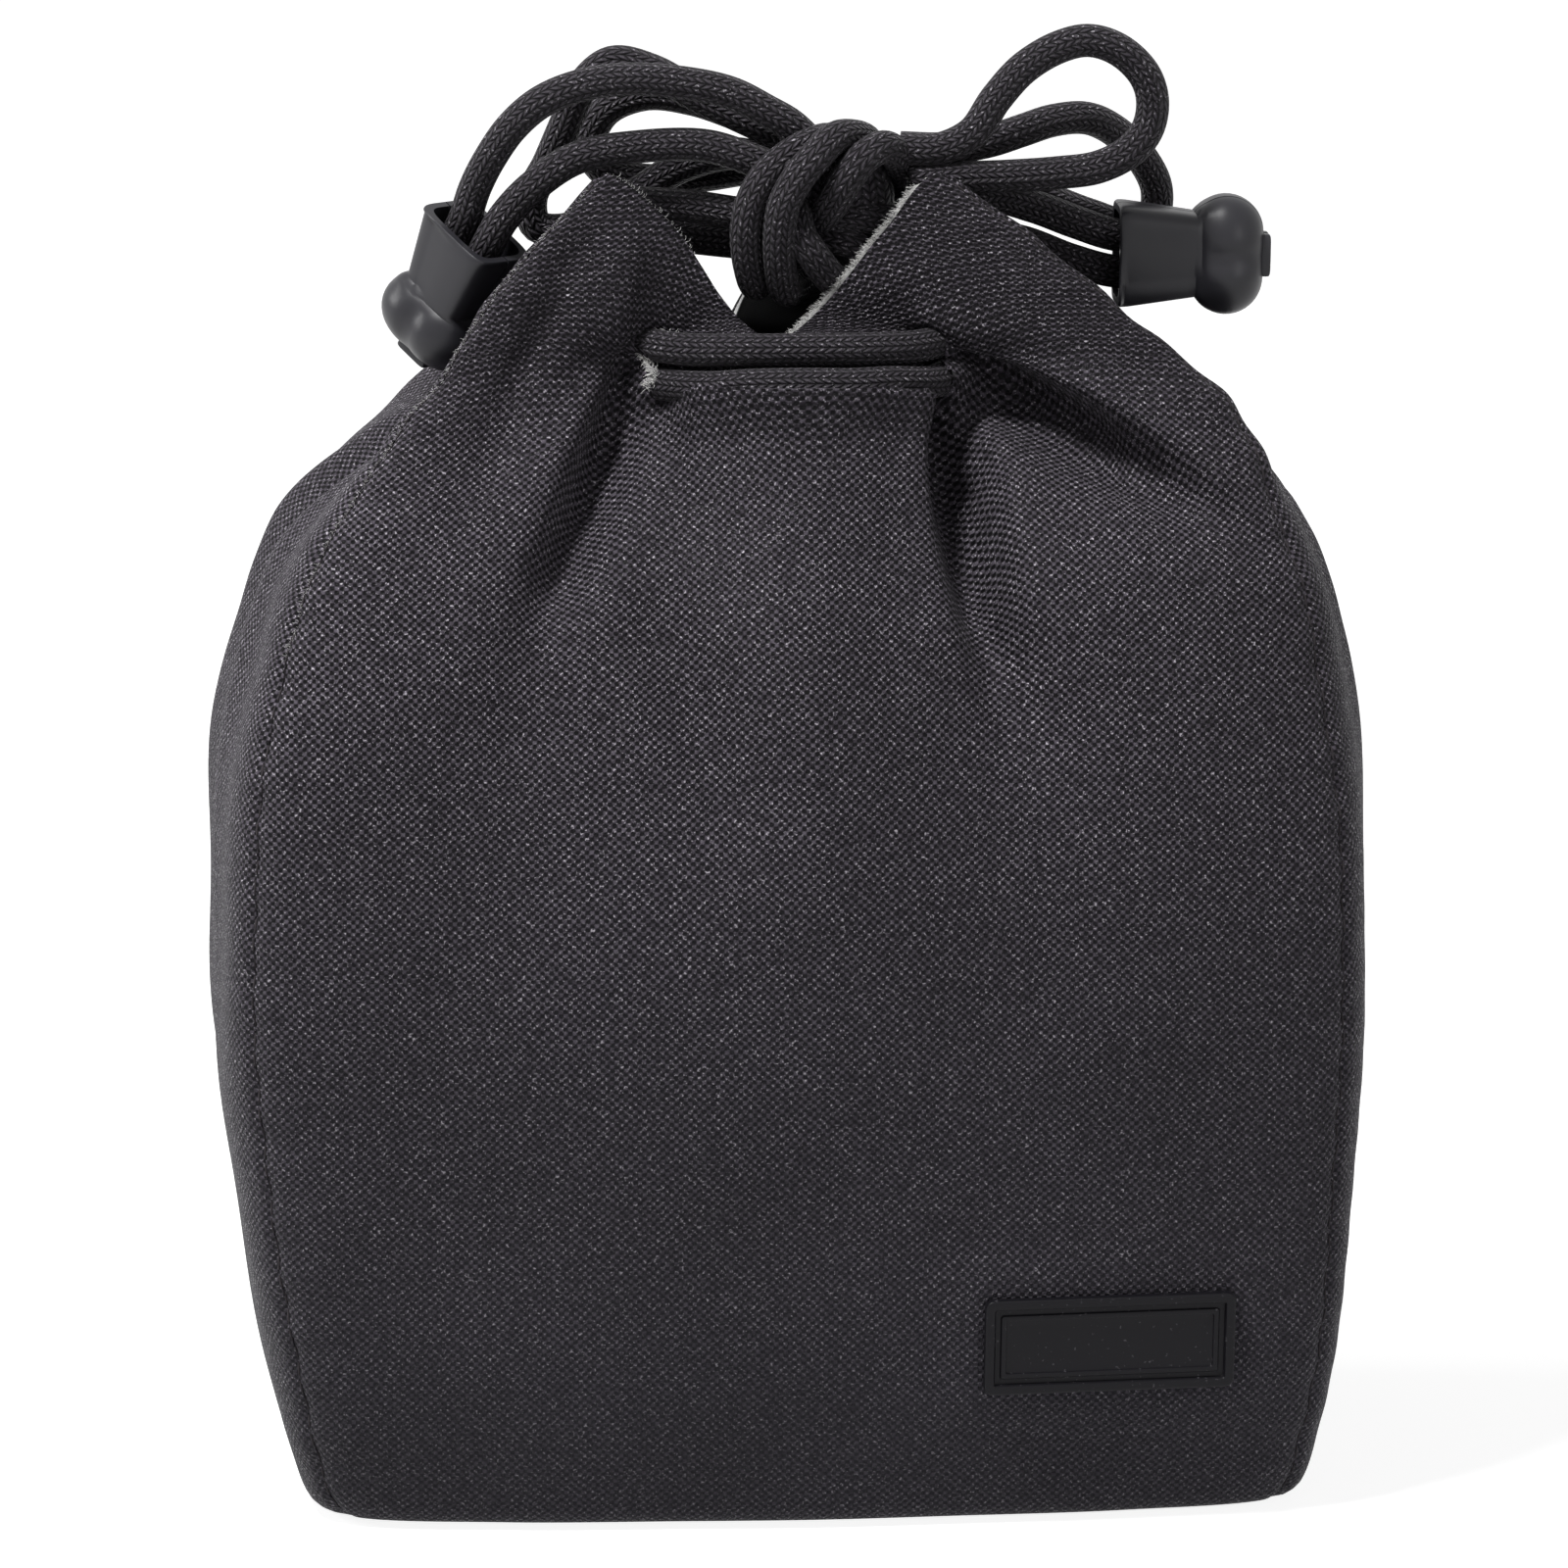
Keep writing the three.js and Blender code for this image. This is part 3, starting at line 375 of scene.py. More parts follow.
# Cords: the routes of the CAD model's cords, point by point
CORD_DIAMETER = 5
CORD_RADIUS = CORD_DIAMETER / 2
ROUTES = {
    "left_drawcord": [
        [-3.2, -8.2, 193.6], [-9, -6.6, 194.2], [-18, -4.4, 195.2], [-27.6, -3.4, 195],
        [-34.4, -3.4, 191.4], [-38, -3.4, 185.2], [-38.8, -3.3, 179], [-36, -3.6, 176], [-31, -6, 176],
        [-26.5, -10.5, 176], [-22.8, -15.4, 175.8], [-17.6, -20.2, 175.8], [-9, -24, 176.2],
        [0, -24.8, 176.3], [8, -24.2, 176.2], [15.5, -20.4, 175.8], [20, -15, 175.6], [22.6, -9.5, 175.4],
        [23.8, -4.5, 175.4], [24, 0, 175.4], [23.8, 4.5, 175.4], [22.6, 9.5, 175.4], [19.6, 15, 174.8],
        [15, 20.8, 172.6], [8, 24.6, 170], [0, 24.6, 168.2], [-8, 24.2, 168.6], [-15, 21.8, 171.6],
        [-20.4, 17.4, 174], [-25.4, 11, 175.6], [-31, 6, 176], [-36, 3.6, 176], [-38.8, 3.3, 179],
        [-37.4, 3.3, 185], [-33, 3.2, 189.2], [-26.6, 2.8, 190.2], [-18, 1.8, 189.6], [-9, 0.2, 188.8],
        [-2.6, -1.6, 188.6],
    ],
    "right_drawcord": [
        [14.4, -0.8, 190.6], [20, 0, 186.4], [28.6, -2.8, 183.4], [37.5, -3.4, 181], [41.6, -3.4, 176],
        [40.6, -3.3, 171.6], [36.5, -3.6, 170], [31, -6, 170], [25.5, -10.4, 170.2], [21.4, -15.8, 170.2],
        [17.4, -21.6, 170.6], [12, -26, 171.4], [6, -28.4, 171.6], [0, -29, 171.8], [-8, -28, 171.6],
        [-15, -23.8, 170.6], [-20.8, -17.8, 170.2], [-25.4, -11.6, 170.4], [-28.2, -5.6, 170],
        [-28.8, 0, 170], [-28.2, 5.6, 170], [-25.6, 12, 169.8], [-21.6, 18.8, 168.2], [-17, 25.4, 165.8],
        [-9, 30, 163], [0, 30.4, 162.4], [9, 29.2, 164], [16.5, 23.6, 167], [20.6, 17, 169.4],
        [25.2, 10.8, 170], [31, 6, 170], [36.5, 3.6, 170], [40.6, 3.3, 171.6], [41.6, 3.4, 176],
        [37.5, 3.4, 181], [30, 3.4, 183.8], [21, 5.6, 187], [15, 5, 191],
    ],
    "left_bow_loop_front": [
        [-2.6, -3.2, 205.6], [-8, -2, 208], [-15, 0, 211.2], [-21.5, 1.5, 214.8], [-27.6, 2.6, 216],
        [-32, 4, 212.2], [-34.6, 6, 206], [-37, 8, 200], [-39.6, 9.4, 194.4], [-38.8, 9.8, 190.2],
        [-34, 10.2, 189.6], [-26, 10, 193.4], [-17, 7, 199.4], [-9, 2.2, 202], [-3.6, -1.4, 201],
    ],
    "left_bow_loop_rear": [
        [1.6, 0.4, 203.6], [-3.4, 4.2, 205.6], [-8, 6.4, 207.2], [-15, 8.6, 209.4], [-22, 10.6, 210],
        [-28, 12.4, 207.4], [-30.4, 14.4, 202.2], [-28, 16, 197.6], [-21, 15.2, 196.2], [-13, 11.6, 197.4],
        [-6.4, 7.8, 198.8], [-1.2, 4.4, 198.6], [2.2, 1.2, 198],
    ],
    "right_bow_loop_outer": [
        [15.2, -8.6, 204], [20.6, -9.4, 204], [25.8, -9.5, 206.4], [29.4, -9.5, 211.6], [33.6, -9.5, 216.2],
        [38.9, -9.5, 219.3], [43.4, -9.5, 220.2], [47.9, -9.5, 218.7], [51.7, -9.4, 215], [53, -9.2, 211],
        [52.3, -9, 206.7], [49.7, -8.9, 203.4], [44.9, -8.9, 201], [38.6, -9, 200.2], [30.8, -9.4, 199.8],
        [23.4, -9.6, 199.6], [16.6, -9.4, 198.9],
    ],
    "right_bow_loop_inner": [
        [15.6, -3, 203.4], [22, -3, 203.2], [29, -2.6, 204.2], [34, -1.6, 205.6], [39, 0.6, 206.8],
        [44.6, 4, 206.6], [49.8, 8, 203.6], [54, 11, 199], [56.2, 13, 194.3], [55.8, 14, 190.4],
        [52.4, 14, 188.6], [46, 12.2, 190.6], [38, 9, 194], [28, 5.6, 197.4], [21, 3.4, 198.6],
        [15.8, 2, 198.6],
    ],
    "left_tail_upper": [
        [1.6, -9.2, 205], [-1.6, -9.5, 208], [-5, -9.6, 210], [-10.4, -9.6, 212.8], [-17.4, -9.6, 214.4],
        [-26.4, -9.4, 215], [-33, -8.8, 214], [-38.6, -7.8, 211.6], [-43, -6, 207.6], [-46.4, -4, 202.4],
        [-48.6, -2, 197.6], [-50, -1, 193.2], [-52.6, 1.4, 187],
    ],
    "left_tail_lower": [
        [-0.4, -10.4, 200], [-4, -9.8, 201.4], [-8.6, -9.2, 203.2], [-14.4, -8.6, 204.8],
        [-24.6, -8, 204.6], [-33.4, -7.6, 203], [-40, -6.8, 198.6], [-44.2, -5.8, 194],
        [-46.6, -4.8, 189.8], [-49, -2.4, 184.2],
    ],
    "right_tail_upper": [
        [16.2, -8.7, 193], [22, -6.6, 194.4], [29, -2.6, 195.8], [36, 0, 193.8], [42.5, 1, 191.2],
        [48.7, 1, 189.2], [55.4, 1, 189],
    ],
    "right_tail_lower": [
        [13.4, -8.6, 186.6], [20, -6.8, 188.2], [27, -3.4, 190], [34.5, 0, 188.4], [42, 1, 185.4],
        [48.7, 1, 183.6], [55.4, 1, 183.6],
    ],
}


def run_along(line):
    """How far along a line each of its points lies."""
    return np.concatenate([[0], np.cumsum(np.linalg.norm(np.diff(line, axis=0), axis=1))])


def centreline(route, step=0.7, closed=False):
    """Evenly spaced points on the centripetal spline through a route."""
    p = np.array(route, float)
    if closed:
        p = np.vstack([p[-1], p, p[:2]])
    else:
        p = np.vstack([2 * p[0] - p[1], p, 2 * p[-1] - p[-2]])
    points = []
    for p0, p1, p2, p3 in zip(p, p[1:], p[2:], p[3:]):
        a, b, c = (math.sqrt(np.linalg.norm(q - r)) for q, r in ((p1, p0), (p2, p1), (p3, p2)))
        out = ((p1 - p0) / a - (p2 - p0) / (a + b) + (p2 - p1) / b) * b
        back = ((p2 - p1) / b - (p3 - p1) / (b + c) + (p3 - p2) / c) * b
        t = np.linspace(0, 1, 24, endpoint=False)[:, None]
        points.append(
            p1 + out * t + (3 * (p2 - p1) - 2 * out - back) * t**2 + (2 * (p1 - p2) + out + back) * t**3
        )
    points = np.vstack([*points, p[-2]])
    run = run_along(points)
    even = np.linspace(0, run[-1], max(8, round(run[-1] / step)) + 1)
    return np.column_stack([np.interp(even, run, points[:, i]) for i in range(3)])


def cord_tube(line, radius=CORD_RADIUS, sides=28, closed=False):
    """Points, faces and UV of a round cord along a line: u once round, v in millimetres along it."""
    count = len(line)
    tangents = np.gradient(line, axis=0)
    if closed:
        tangents[0] = tangents[-1] = line[1] - line[-2]
    tangents /= np.linalg.norm(tangents, axis=1)[:, None]
    side = np.cross(tangents[0], (0.3, 0.2, 1))
    sides_at = []
    for t in tangents:
        side = side - t * (side @ t)
        side /= np.linalg.norm(side)
        sides_at.append(side)
    sides_at = np.array(sides_at)
    others = np.cross(tangents, sides_at)
    if closed:
        # Spread the twist that is left over, so that the last ring meets the first
        twist = math.atan2(sides_at[-1] @ others[0], sides_at[-1] @ sides_at[0])
        turn = -twist * np.linspace(0, 1, count)[:, None]
        sides_at, others = (
            sides_at * np.cos(turn) + others * np.sin(turn),
            others * np.cos(turn) - sides_at * np.sin(turn),
        )
    around = np.linspace(0, 2 * math.pi, sides + 1)
    ring = np.cos(around)[None, :, None] * sides_at[:, None] + np.sin(around)[None, :, None] * others[:, None]
    points = (line[:, None] + radius * ring).reshape(-1, 3)
    run = run_along(line)
    uv = np.dstack(np.meshgrid(np.linspace(0, 1, sides + 1), run)).reshape(-1, 2)
    row = sides + 1
    faces = [
        (r * row + i, r * row + i + 1, (r + 1) * row + i + 1, (r + 1) * row + i)
        for r in range(count - 1) for i in range(sides)
    ]
    if not closed:
        points = np.vstack([points, line[0], line[-1]])
        uv = np.vstack([uv, [0, 0], [0, run[-1]]])
        low, high = len(points) - 2, len(points) - 1
        last = (count - 1) * row
        faces += [(low, i + 1, i) for i in range(sides)]
        faces += [(high, last + i, last + i + 1) for i in range(sides)]
    return points, faces, uv


def join_tubes(tubes):
    """Several tubes as one set of points, faces and UV."""
    points, faces, uv, start = [], [], [], 0
    for tube_points, tube_faces, tube_uv in tubes:
        points.append(tube_points)
        faces += [[start + i for i in face] for face in tube_faces]
        uv.append(tube_uv)
        start += len(tube_points)
    return np.vstack(points), faces, np.vstack(uv)


LINES = {name: centreline(route) for name, route in ROUTES.items()}
cords = {}
for name, line in LINES.items():
    points, faces, uv = cord_tube(line)
    piece = make_piece(f"{name}_braid", points, faces, CORD, uv)
    cords[name] = stand_in(piece, "pouch", "braided_cord", name)


# The wall: the CAD model's loft over twenty rails
BODY = np.array([174.0, 106.0, 201.5])
# The rails from the middle of the front or back to the middle of a side, as shares of the half width and half
# depth: on the plain body, and where the wall is gathered
BOX_SHARES = [(0, 1), (0.27, 0.985), (0.62, 0.955), (0.94, 0.84), (1, 0.42), (1, 0)]
BELT_SHARES = [(0, 0.94), (0.43, 0.56), (0.74, 0.9), (1, 0.93), (0.86, 0.46), (0.64, 0)]
BACK_BELT_SHARES = [(-0.06, 0.84), (0.44, 0.56), (0.68, 0.86), (0.9, 0.92), (0.8, 0.46), (0.64, 0)]
# Height, left and right half width, front and back half depth, and how far the wall has gathered, first on
# the front and back, then on the sides
LEVEL_SHARES = [
    (0, 0.858, 0.858, 0.8, 0.8, 0, 0), (0.025, 0.897, 0.89, 0.868, 0.868, 0, 0),
    (0.14, 0.96, 0.936, 0.955, 0.955, 0, 0), (0.365, 1.022, 0.968, 1, 1, 0, 0),
    (0.54, 1.01, 0.96, 0.955, 0.94, 0.03, 0), (0.675, 0.94, 0.905, 0.83, 0.8, 0.13, 0),
    (0.75, 0.845, 0.836, 0.7, 0.675, 0.36, 0.07), (0.808, 0.73, 0.765, 0.575, 0.56, 0.72, 0.62),
    (0.862, 0.622, 0.655, 0.485, 0.475, 1, 1),
]
# How far the middle rails of the gathered back hang down
BACK_SAG_SHARES = {9: 0.012, 10: 0.042, 11: 0.014}
# Each rail's place on the rim of the mouth: across, deep and up
RIM_SHARES = [
    (-0.052, -0.315, 0.877), (0.03, -0.29, 0.898), (0.14, -0.3, 0.957), (0.238, -0.31, 0.999),
    (0.37, -0.19, 0.935), (0.335, 0, 0.89), (0.36, 0.17, 0.92), (0.26, 0.29, 0.94),
    (0.08, 0.27, 0.922), (-0.056, 0.26, 0.902), (-0.13, 0.28, 0.857), (-0.2, 0.26, 0.89),
    (-0.27, 0.27, 0.92), (-0.345, 0.29, 0.945), (-0.385, 0.17, 0.92), (-0.34, 0, 0.89),
    (-0.4, -0.18, 0.93), (-0.35, -0.3, 1), (-0.225, -0.3, 0.963), (-0.128, -0.29, 0.9),
]
RAILS = 20
# The rails of each panel, from seam to seam
PANELS = {"front": (-3, 3), "right": (3, 7), "back": (7, 13), "left": (13, 17)}


def rail_place(rail):
    """A rail's entry in the tables of shares, and its side of the pouch: across, then from front to back."""
    if rail <= 5:
        return rail, 1, -1
    if rail <= 10:
        return 10 - rail, 1, 1
    if rail <= 15:
        return rail - 10, -1, 1
    return 20 - rail, -1, -1


def level_point(level, rail):
    """The point of the loft where a rail crosses a level."""
    entry, side, face = rail_place(rail)
    height, left, right, front, back, gather, side_gather = LEVEL_SHARES[level]
    belt = (BELT_SHARES if face < 0 else BACK_BELT_SHARES)[entry]
    weight = gather if entry < 4 else side_gather
    across = BOX_SHARES[entry][0] * (1 - weight) + belt[0] * weight
    deep = BOX_SHARES[entry][1] * (1 - weight) + belt[1] * weight
    sag = BACK_SAG_SHARES.get(rail, 0) * weight
    half = BODY / 2
    return (
        side * half[0] * (left if side < 0 else right) * across,
        face * half[1] * (front if face < 0 else back) * deep,
        BODY[2] * (height - sag),
    )


def wall_controls():
    """All points of the loft: the levels, a cuff halfway to the rim, and the rim itself."""
    levels = [[level_point(level, rail) for rail in range(RAILS)] for level in range(len(LEVEL_SHARES))]
    rim = np.array(RIM_SHARES) * BODY * (0.5, 0.5, 1)
    cuff = (rim + np.array(levels[-1])) / 2 * (1.04, 1.04, 1)
    return np.array([*levels, cuff, rim])


CONTROLS = wall_controls()
TOP = len(CONTROLS) - 1


def blend4(p0, p1, p2, p3, t):
    """The smooth curve from p1 to p2, with t from 0 to 1 between them."""
    t = t[..., None]
    return (
        (-t**3 + 2 * t**2 - t) * p0 + (3 * t**3 - 5 * t**2 + 2) * p1
        + (-3 * t**3 + 4 * t**2 + t) * p2 + (t**3 - t**2) * p3
    ) / 2


def wall_point(u, v):
    """The outer surface at rail u and level v, in millimetres."""
    u, v = np.broadcast_arrays(np.asarray(u, float), np.asarray(v, float))
    rail = np.floor(u).astype(int)
    level = np.clip(np.floor(v).astype(int), 0, TOP - 1)

    def curve(r):
        at = [CONTROLS[np.clip(level + i, 0, TOP), r % RAILS] for i in (-1, 0, 1, 2)]
        return blend4(*at, v - level)

    return blend4(curve(rail - 1), curve(rail), curve(rail + 1), curve(rail + 2), u - rail)


def outward(u, v):
    """The unit normal of the outer surface."""
    step = 0.03
    across = wall_point(u + step, v) - wall_point(u - step, v)
    up = wall_point(u, np.minimum(v + step, TOP)) - wall_point(u, np.maximum(v - step, 0))
    normal = np.cross(across, up)
    return normal / np.linalg.norm(normal, axis=-1)[..., None]


def front_point(x, z):
    """Where the front panel passes a given x and z, with its outward normal."""
    u, v, step = 1.0, 2.0, 0.02
    for _ in range(40):
        p = wall_point(u, v)
        v += (z - p[2]) / ((wall_point(u, v + step) - p)[2] / step)
        u += (x - p[0]) / ((wall_point(u + step, v) - p)[0] / step)
    return wall_point(u, v), outward(np.array(u), np.array(v))


# The label's seat: the plane that touches the front panel at the label's middle
LABEL_CENTRE = (43.5, 29.5)
LABEL_WIDTH, LABEL_HEIGHT = 38, 15
LABEL_GAP = 0.3
# The cloth lies this far over the label's plane under it, and bends down to it over this width round it
CLOTH_UNDER_LABEL, LABEL_BEND = 0.2, 9
seat_point, seat_normal = front_point(*LABEL_CENTRE)
seat_up = np.array([0, 0, 1]) - seat_normal * seat_normal[2]
seat_up /= np.linalg.norm(seat_up)
seat_right = np.cross(seat_up, seat_normal)


def smooth(low, high, x):
    """0 at low and 1 at high, with an even start and end."""
    t = np.clip((x - low) / (high - low), 0, 1)
    return t * t * (3 - 2 * t)


def fold_down(at, height, table):
    """A fold that runs down the cloth. Each row of the table: height, place, width to the left and to the
    right, and how far the cloth stands out, which is nothing past the first and last height."""
    heights, *columns = np.array(sorted(table), float).T
    place, left, right = (np.interp(height, heights, column) for column in columns[:3])
    rise = np.interp(height, heights, columns[3], left=0, right=0)
    away = at - place
    return rise * np.exp(-((away / np.where(away < 0, left, right)) ** 2))


def fold_across(at, height, table):
    """A fold that runs across the cloth. Each row: place, height, width below and above, and rise."""
    return fold_down(height, at, table)


# Folds of the front panel: place across, height
FRONT_FOLDS_DOWN = [
    # the deep pleat right of the middle
    [(112, 30, 6, 12, 0), (122, 28.6, 5, 9, -1.2), (129, 27, 3.8, 7, -3.4), (135, 25.4, 2.8, 5.6, -7.2),
     (141, 23.8, 2.4, 5, -9.8), (149, 22.4, 2.2, 5, -10.4), (158, 21, 2.1, 5.2, -10.2), (166, 20, 2, 5, -8.8),
     (171, 20, 1.8, 4, -5.6), (177, 20.4, 1.5, 3, 0)],
    # the valley left of the middle
    [(118, -44, 9, 9, 0), (132, -41.4, 7, 6, -2), (140, -39.4, 5, 5, -4.6), (148, -36.2, 4.4, 4.8, -7),
     (156, -32.4, 4, 4.6, -8), (163, -29.2, 3.6, 4, -7.2), (170, -26.4, 3, 2.6, -3.6), (177, -26, 3, 2, 0)],
    # the ridge down the left flap, and the hollow behind it
    [(146, -42, 5, 4, 0), (158, -37.6, 4, 3.4, 1.4), (168, -32.6, 4, 3, 2), (178, -28.4, 4, 3, 2.2),
     (190, -26.4, 4, 3, 1.4), (199, -27.4, 4, 4, 0)],
    [(150, -52, 6, 5, 0), (164, -46, 5, 4, -1.8), (176, -40.5, 4, 3.4, -2.2), (188, -35, 3.4, 3, -1.4),
     (196, -32, 3, 3, 0)],
    # the swell right of the pleat
    [(124, 36, 9, 10, 0), (140, 33, 5, 9, 1.4), (152, 30, 4, 8, 2.2), (162, 28.6, 3.4, 7, 2),
     (170, 29, 3, 7, 0)],
    # long soft falls under the gathers
    [(98, -9, 8, 9, 0), (112, -13, 6, 8, -1.9), (126, -19, 5, 7, -2.6), (138, -24, 5, 6, -1.8),
     (148, -28, 4, 5, 0)],
    [(50, 36, 14, 14, 0), (90, 33, 12, 12, -1.7), (122, 30, 10, 10, -2.4), (140, 27, 8, 8, 0)],
    [(56, -50, 14, 14, 0), (92, -48, 12, 12, -1.4), (122, -44, 10, 10, -2.2), (138, -41, 8, 8, 0)],
    [(40, -6, 22, 22, 0), (90, -4, 18, 18, 1.5), (130, -3, 12, 12, 2), (150, -4, 9, 9, 0)],
]
FRONT_FOLDS_ACROSS = [
    # the crease under the right flap, and the flap's rounded lower edge over it
    [(15, 176.6, 3, 1, 0), (21, 174.6, 5.8, 1.1, -3.6), (31, 171, 8.4, 1.3, -5.6), (43, 165.8, 9, 1.4, -5.6),
     (53, 160, 8, 1.5, -4.4), (60, 155, 5.6, 1.7, -2.4), (69, 147, 3, 2, 0)],
    [(15, 179.4, 1.6, 3, 0), (22, 177.4, 1.8, 4, 2.4), (31, 174, 1.8, 4.6, 3.2), (43, 168.8, 1.9, 4.6, 3),
     (54, 162.4, 2, 4.4, 1.8), (67, 152, 2, 3, 0)],
    [(16, 173, 3, 4, 0), (22, 170, 3, 5, -2.2), (31, 166, 3.4, 5, -3.2), (43, 160.6, 3.6, 5, -3.2),
     (53, 155, 3, 5, -2.2), (62, 149, 3, 3, 0)],
]
BACK_FOLDS_DOWN = [
    [(112, 32, 9, 9, 0), (136, 28, 6, 6, -3), (152, 24, 4, 4, -5), (164, 22, 3, 3.4, -4.4),
     (176, 21, 3, 3, 0)],
    [(110, -34, 9, 9, 0), (136, -30, 6, 6, -3.2), (152, -26, 4, 4, -5.2), (165, -22, 3.4, 3, -4),
     (176, -21, 3, 3, 0)],
    [(60, 4, 18, 18, 0), (110, 3, 14, 14, 1.4), (140, 2, 10, 10, 1.8), (156, 1, 8, 8, 0)],
    [(70, -58, 10, 10, 0), (120, -52, 8, 8, -1.4), (150, -42, 6, 6, -1.8), (172, -36, 4, 4, 0)],
    [(70, 60, 10, 10, 0), (120, 54, 8, 8, -1.4), (150, 44, 6, 6, -1.8), (172, 38, 4, 4, 0)],
]
# Folds of the side panels: place from front to back, height
SIDE_FOLDS_DOWN = [
    [(60, 0, 12, 12, 0), (110, -1, 9, 9, -1.6), (140, 0, 7, 7, -3), (160, 0, 5, 5, -4), (174, 0, 4, 4, 0)],
    [(70, -22, 8, 8, 0), (120, -19, 6, 6, 1.2), (150, -14, 5, 5, 1.8), (170, -10, 4, 4, 0)],
    [(70, 22, 8, 8, 0), (120, 19, 6, 6, 1.2), (150, 14, 5, 5, 1.8), (170, 10, 4, 4, 0)],
]


def seeded_waves(points, seed, shortest, longest, count=14):
    """A sum of plane waves, about -1 to 1, that is the same in each run."""
    rng = np.random.default_rng(seed)
    total = np.zeros(points.shape[:-1])
    for _ in range(count):
        way = rng.normal(size=3)
        way /= np.linalg.norm(way) * rng.uniform(shortest, longest)
        total += np.sin(2 * math.pi * (points @ way) + rng.uniform(0, 2 * math.pi))
    return total / math.sqrt(count)


# How deep and how wide a seam draws the cloth in, and the height, reach and length of its puckers
SEAM_DEPTH, SEAM_WIDTH = 0.6, 0.9
PUCKER_RISE, PUCKER_REACH, PUCKER_LENGTH = 0.3, 5, 8.5


def panel_weight(u, middle):
    """1 on the front or back panel, whose middle rail is given, and 0 past its seams."""
    return smooth(3.6, 2.9, np.abs(u - middle))


def cloth_rise(p, u, v):
    """How far the sewn cloth stands out from the loft, in millimetres."""
    x, y, z = p[..., 0], p[..., 1], p[..., 2]
    front, back = panel_weight(u, 0), panel_weight(u, 10)
    # Long soft waves in the padding, and short ones where the cloth is gathered
    rise = 0.4 * seeded_waves(p, seed=7, shortest=22, longest=60) * smooth(0, 20, z)
    rise += 0.16 * seeded_waves(p, seed=21, shortest=7, longest=16) * smooth(110, 160, z)
    for table in FRONT_FOLDS_DOWN:
        rise += front * fold_down(x, z, table)
    for table in FRONT_FOLDS_ACROSS:
        rise += front * fold_across(x, z, table)
    for table in BACK_FOLDS_DOWN:
        rise += back * fold_down(x, z, table)
    for table in SIDE_FOLDS_DOWN:
        rise += (1 - front) * (1 - back) * fold_down(y, z, table)
    # A seam draws the cloth in at each corner, and puckers it
    for seam in (-3, 3, 7, 13, 17):
        width = np.linalg.norm(wall_point(seam + 0.25, v) - wall_point(seam - 0.25, v), axis=-1) * 2
        away = np.abs(u - seam) * width
        rise -= SEAM_DEPTH * np.exp(-((away / SEAM_WIDTH) ** 2))
        rise += PUCKER_RISE * np.exp(-away / PUCKER_REACH) * np.sin(2 * math.pi * z / PUCKER_LENGTH + seam)
    return rise


def rolled_over(p, u):
    """The middle of the front and of the back swells up to the lower cord, and rolls over it. On the front
    the cord's height goes with x, and on the back it is taken as level."""
    x, z = p[..., 0], p[..., 2]
    front, back = panel_weight(u, 0), panel_weight(u, 10)
    top = np.interp(x, [-22, -17.3, -8.6, 1.4, 11.9, 18.5], [167, 168, 169, 169.2, 168.2, 166.4])
    swell = np.interp(z - top, [-26, -14, -6, -2.2, -0.6, 0.5, 1.5], [0, 0.9, 2.8, 5.4, 6.7, 6.7, 0])
    rise = front * swell * smooth(-22.5, -14, x) * smooth(19.4, 16.6, x)
    swell = np.interp(z, [132, 148, 155, 158, 159.4], [0, 1.4, 3.4, 4.6, 0])
    return rise + back * swell * smooth(-20, -13, x) * smooth(20, 13, x)


# Cords press the cloth: it passes under a cord that runs outside the wall, and over one that runs inside it
def tree_of(points):
    """A search tree for the nearest of the points."""
    tree = kdtree.KDTree(len(points))
    for i, p in enumerate(points):
        tree.insert(p, i)
    tree.balance()
    return tree


cord_tree = tree_of(np.vstack(list(LINES.values())))
# How far the cloth's face stays from the middle of a cord under it and over it, and its slope beside them
OVER_CORD, UNDER_CORD, SKIRT = 3.35, 2.62, 1.3
# Cords touch the cloth above this height, and no farther off than this
CORDS_FROM, CORDS_REACH = 150, 11
near_u, near_v = np.meshgrid(np.arange(0, RAILS, 0.1), np.linspace(6, TOP, 61))
wall_places, wall_ways = wall_point(near_u, near_v).reshape(-1, 3), outward(near_u, near_v).reshape(-1, 3)
wall_tree = tree_of(wall_places)
DRAWCORDS, SLITS = [], []
for name in ("left_drawcord", "right_drawcord"):
    nearest = [wall_tree.find(p) for p in LINES[name]]
    feet = [i for _, i, _ in nearest]
    outside = np.einsum("ij,ij->i", LINES[name] - wall_places[feet], wall_ways[feet]) > 0
    DRAWCORDS.append((tree_of(LINES[name]), outside))
    SLITS += [LINES[name][i] for i in np.nonzero(outside[1:] != outside[:-1])[0] if nearest[i][2] < 1.5]
slit_tree = tree_of(SLITS)


def pressed(flat, out, rise):
    """The rise where the drawcords press the cloth, and for each point 1 over a cord, -1 under it, or 0."""
    points, ways, lifted = flat.reshape(-1, 3), out.reshape(-1, 3), rise.ravel().copy()
    side = np.zeros(len(points), int)
    for tree, outside in DRAWCORDS:
        for i in np.nonzero(points[:, 2] > CORDS_FROM)[0]:
            near, index, distance = tree.find(points[i])
            if distance > CORDS_REACH:
                continue
            height = (np.array(near) - points[i]) @ ways[i]
            aside = math.sqrt(max(distance**2 - height**2, 0))
            reach = UNDER_CORD if outside[index] else OVER_CORD
            bow = math.sqrt(reach**2 - aside**2) if aside < reach else SKIRT * (reach - aside)
            lifted[i] = min(lifted[i], height - bow) if outside[index] else max(lifted[i], height + bow)
            if aside < reach:
                side[i] = -1 if outside[index] else 1
    return lifted.reshape(rise.shape), side.reshape(rise.shape)


